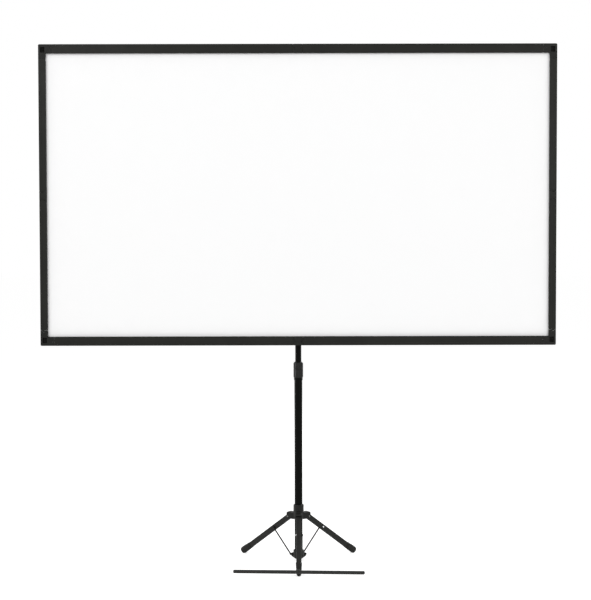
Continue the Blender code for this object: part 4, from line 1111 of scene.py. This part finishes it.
screw = turned("stabilizer_screw_domed", screw_section, screw_place, SMALL_SIDES)
dress(screw, LEG_PAINT, "leg_front", "stabilizer_pivot")

# Pins of the arms: a shank between two flat-domed heads
ARM_PIN = 0.002
ARM_PIN_HEAD = 0.0032
ARM_PIN_HALF = 0.0071
ARM_PIN_RISE = 0.0012
for spot in CORNERS:
    fold = joints["screen_fold" if spot == "top_left" else f"arm_{spot}_fold"]
    for end, joint in (("hub", fold), ("corner", joints[f"corner_{spot}_fold"])):
        name = f"{end}_pin_{spot}"
        place = along_axis(Vector(joint["pos_m"]), Vector(joint["axis"]))
        rivet(
            f"{name}_domed", place, -ARM_PIN_HALF, ARM_PIN_HALF, ARM_PIN, ARM_PIN_HEAD, ARM_PIN_RISE,
            ("low", "high"), body_of[name], name,
        )

# Cross-head screws
SCREW_RADIUS = 0.0034
SCREW_RISE = 0.0014
SCREW_RIM = 0.0006
CROSS_REACH = 0.0018
CROSS_HALF = 0.00035
CROSS_FLOOR = 0.0011


def cross_screw(name, seat, finish, body, slot):
    """A round-head screw with a cross recess, standing on its seat's Z."""
    head = [(SCREW_RADIUS, 0.0), (SCREW_RADIUS, SCREW_RIM), *dome(SCREW_RADIUS, SCREW_RISE, SCREW_RIM)]
    screw = turned(name, head, seat, SMALL_SIDES)
    arm = rectangle(-CROSS_REACH, -CROSS_HALF, CROSS_REACH, CROSS_HALF)
    for turn in (pi / 4, 3 * pi / 4):
        cross = prism("cross", arm, CROSS_FLOOR, 2 * SCREW_RADIUS, seat @ Matrix.Rotation(turn, 4, "Z"))
        combined(screw, "DIFFERENCE", cross)
    dress(screw, finish, body, slot=slot)


# Corner blocks: the outer corner rounded off, and an insert with a screw in the pocket, both coloured dark as
# painted shade for the pocket
OUTER_ROUND = 0.0045
OVERSHOOT = 0.002
PAST_BACK = 0.05
POCKET_INSET = 0.003
POCKET_WIDTH = 0.015
POCKET_HEIGHT = 0.019
POCKET_DEPTH = 0.008
INSERT_GAP = 0.0006
INSERT_RISE = 0.0036
INSERT_ROUND = 0.0024
INSERT_RIM = 0.0022
INSERT_DISH = 0.0008
INSERT_EDGE = 0.0005
WELD = 0.000002
frame_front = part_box("rail_top_left")[0].y


def own_normals(mesh):
    """Drop the normals that a CAD node came with."""
    if "custom_normal" in mesh.attributes:
        mesh.attributes.remove(mesh.attributes["custom_normal"])


def edges_broken(piece):
    """Weld a CAD node's faces and round off its sharp edges."""
    weld = piece.modifiers.new("weld", "WELD")
    weld.merge_threshold = WELD
    return bevelled(piece, EDGE_BREAK)


def corner_piece(spot, side, level):
    """The corner block with a round outer corner."""
    name = f"corner_{spot}"
    mesh = nodes[name].data.copy()
    mesh.transform(nodes[name].matrix_world)
    own_normals(mesh)
    block = bpy.data.objects.new(f"{name}_moulded", mesh)
    bpy.context.scene.collection.objects.link(block)
    low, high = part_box(name)
    outer = (high.x if side > 0 else low.x, frame_front, high.z if level > 0 else low.z)
    place = axes(outer, ASIDE * -side, UP * -level, AHEAD)
    past = -OVERSHOOT
    round_off = arc((OUTER_ROUND, OUTER_ROUND), OUTER_ROUND, 3 * pi / 2, pi, 8)
    spare = [(past, past), (OUTER_ROUND, past), *round_off, (past, OUTER_ROUND)]
    combined(block, "DIFFERENCE", prism("spare", spare, past, PAST_BACK, place))
    dress(edges_broken(block), JOINT_PLASTIC, body_of[name], name)


def pocket_insert(spot, side, level):
    """A dished plate with a screw, set back in a corner's pocket; their dark colour is painted shade in the
    pocket.
    """
    body = f"corner_{spot}"
    inner_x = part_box("rail_left_upper")[1].x if side < 0 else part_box("rail_right_upper")[0].x
    inner_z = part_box("rail_top_left")[0].z if level > 0 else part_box("rail_bottom_left")[1].z
    floor_y = frame_front + POCKET_DEPTH
    place = axes((inner_x, floor_y, inner_z), ASIDE * side, UP * level, -AHEAD)
    low = POCKET_INSET + INSERT_GAP
    wide, tall = POCKET_WIDTH - 2 * INSERT_GAP, POCKET_HEIGHT - 2 * INSERT_GAP
    rings = []
    steps = (
        (0.0, GAP),
        (0.0, INSERT_RISE - INSERT_EDGE),
        (INSERT_EDGE, INSERT_RISE),
        (INSERT_RIM, INSERT_RISE),
        (INSERT_RIM + INSERT_EDGE, INSERT_RISE - INSERT_DISH),
    )
    for margin, height in steps:
        outline = rectangle(margin, margin, wide - margin, tall - margin)
        ring = rounded(outline, INSERT_ROUND, 5, closed=True)
        rings.append([(low + x, low + y, height) for x, y in ring])
    insert = lofted(f"corner_insert_{spot}", rings, place)
    dress(insert, POCKET_PAINTED_SHADE, body, slot="joint_plastic")
    seat = place @ Matrix.Translation((low + wide / 2, low + tall / 2, INSERT_RISE - INSERT_DISH - GAP))
    cross_screw(f"corner_screw_{spot}", seat, POCKET_PAINTED_SHADE, body, "joint_plastic")


for spot, (side, level) in CORNERS.items():
    corner_piece(spot, side, level)
    pocket_insert(spot, side, level)

# Hub dressing: a domed cap and a rim on the socket, webs to its plate and four screws
HUB_RADIUS = 0.0165
HUB_TOP = 0.014
HUB_RIM = 0.0008
HUB_RIM_HEIGHT = 0.004
HUB_CAP_RISE = 0.0032
HUB_PLATE_FACE = -0.014
HUB_SCREW_SPOT = 0.0195
HUB_WEB_ROOT = 0.0135
HUB_WEB_REACH = 0.0235
HUB_WEB_RISE = 0.011
HUB_WEB_HALF = 0.0011
HUB_WEB_LEVELS = (0.008, -0.007, -0.022)
hub_body = body_of["screen_hub"]
hub_centre = MAST + UP * sheet_middle.z


def hub_cap():
    rim = HUB_RADIUS + HUB_RIM
    under = HUB_TOP - HUB_RIM_HEIGHT + GAP
    side = rounded([(HUB_RIM, under), (rim, under), (rim, HUB_TOP + HUB_RIM)], HUB_RIM)
    crown = dome(rim - GAP, HUB_CAP_RISE, HUB_TOP + HUB_RIM)
    cap = turned("hub_cap", side + crown, Matrix.Translation(hub_centre))
    dress(cap, JOINT_PLASTIC, hub_body)


def hub_rim():
    inner, rim = HUB_RADIUS - HUB_RIM, HUB_RADIUS + HUB_RIM
    section = rectangle(inner, 0.0, rim, HUB_RIM_HEIGHT)
    at_foot = AT_MAST @ Matrix.Translation((0.0, 0.0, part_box("screen_hub")[0].z))
    ring = turned("hub_rim", rounded(section, HUB_RIM, closed=True), at_foot, closed=True)
    dress(ring, JOINT_PLASTIC, hub_body)


def hub_webs():
    outline = [
        (HUB_WEB_ROOT, HUB_PLATE_FACE - GAP),
        (HUB_WEB_REACH, HUB_PLATE_FACE - GAP),
        (HUB_WEB_ROOT, HUB_PLATE_FACE + HUB_WEB_RISE),
    ]
    webs = []
    for side in SIDES.values():
        for level in HUB_WEB_LEVELS:
            place = axes(hub_centre + UP * level, ASIDE * side, AHEAD, UP * side)
            webs.append(soft_prism("hub_webs", outline, -HUB_WEB_HALF, HUB_WEB_HALF, HUB_WEB_HALF / 2, place))
    first = webs.pop(0)
    combined(first, "UNION", *webs)
    dress(first, JOINT_PLASTIC, hub_body)


hub_cap()
hub_rim()
hub_webs()
for spot, (side, level) in CORNERS.items():
    offset = Vector((side * HUB_SCREW_SPOT, HUB_PLATE_FACE - GAP, level * HUB_SCREW_SPOT))
    seat = along_axis(hub_centre + offset, AHEAD)
    cross_screw(f"hub_screw_{spot}", seat, DULL_ZINC, hub_body, "zinc_rivet")


# CAD nodes that keep their shape get a finish and broken edges
def carried_over(name):
    node = nodes[name]
    node.data.materials.clear()
    node.data.materials.append(FINISH_OF_SLOT[slot_of[name]])
    own_normals(node.data)
    node.data.shade_smooth()
    edges_broken(node)


for name in nodes:
    if not nodes[name].hide_render:
        carried_over(name)

# Light: a white room, a broad key from the upper left, a fill from the right, and two lamps behind
AMBIENT = 0.62
world = bpy.data.worlds.new("white_room")
bpy.context.scene.world = world
world.use_nodes = True
room = world.node_tree
background = room.nodes["Background"]
background.inputs["Color"].default_value = (1.0, 1.0, 1.0, 1.0)


def seen_directly(tree):
    """1 for camera, glossy and transmission rays, and 0 for the light that falls on surfaces."""
    path = tree.nodes.new("ShaderNodeLightPath")
    total = path.outputs["Is Camera Ray"]
    for ray in ("Is Glossy Ray", "Is Transmission Ray"):
        either = tree.nodes.new("ShaderNodeMath")
        either.operation = "MAXIMUM"
        tree.links.new(total, either.inputs[0])
        tree.links.new(path.outputs[ray], either.inputs[1])
        total = either.outputs["Value"]
    return total


strength = room.nodes.new("ShaderNodeMapRange")
strength.inputs["To Min"].default_value = AMBIENT
strength.inputs["To Max"].default_value = 1.0
room.links.new(seen_directly(room), strength.inputs["Value"])
room.links.new(strength.outputs["Result"], background.inputs["Strength"])


def softbox(name, place, target, size, power):
    lamp = bpy.data.lights.new(name, "AREA")
    lamp.shape = "RECTANGLE"
    lamp.size, lamp.size_y = size
    lamp.energy = power
    box = bpy.data.objects.new(name, lamp)
    box.location = place
    box.rotation_euler = (Vector(target) - Vector(place)).to_track_quat("-Z", "Y").to_euler()
    bpy.context.scene.collection.objects.link(box)


MID_MAST_HEIGHT = 0.7
mid_mast = MAST + UP * MID_MAST_HEIGHT
softbox("key", place=(-2.6, -4.2, 3.4), target=sheet_middle, size=(2.4, 1.8), power=78.0)
softbox("fill", place=(3.0, -3.8, 2.2), target=sheet_middle, size=(2.2, 1.8), power=49.0)
softbox("rear", place=(1.6, 3.8, 3.0), target=sheet_middle, size=(2.4, 1.8), power=90.0)
softbox("left_rim", place=(-3.2, 1.0, 1.2), target=mid_mast, size=(0.7, 2.2), power=45.0)

# Floor: white where light reaches it, darker in the object's shadow
FLOOR_SIZE = 60.0
FLOOR_WHITE = 0.80
FLOOR_GLOW = 0.50
work = bmesh.new()
bmesh.ops.create_grid(work, x_segments=1, y_segments=1, size=FLOOR_SIZE)
floor = new_piece("floor", work)
floor_finish = Finish("floor_white", (FLOOR_WHITE, FLOOR_WHITE, FLOOR_WHITE), roughness=0.95, specular=0.0)
floor_finish.shader.inputs["Emission Color"].default_value = (1.0, 1.0, 1.0, 1.0)
glow = floor_finish.maths("MULTIPLY", seen_directly(floor_finish.tree), FLOOR_GLOW)
floor_finish.link(glow, floor_finish.shader.inputs["Emission Strength"])
floor.data.materials.append(floor_finish.material)

# Camera
camera_data = bpy.data.cameras.new("camera")
camera_data.sensor_width = SENSOR
camera_data.lens = FOCAL_PIXELS * SENSOR / IMAGE_LONG_SIDE
camera = bpy.data.objects.new("camera", camera_data)
camera.matrix_world = (
    Matrix.Translation(MAST + CAMERA_FROM_MAST)
    @ Matrix.Rotation(-CAMERA_YAW, 4, "Z")
    @ Matrix.Rotation(pi / 2 - CAMERA_PITCH, 4, "X")
    @ Matrix.Rotation(-CAMERA_ROLL, 4, "Z")
)
bpy.context.scene.collection.objects.link(camera)
bpy.context.scene.camera = camera
bpy.context.scene.view_settings.view_transform = "Standard"
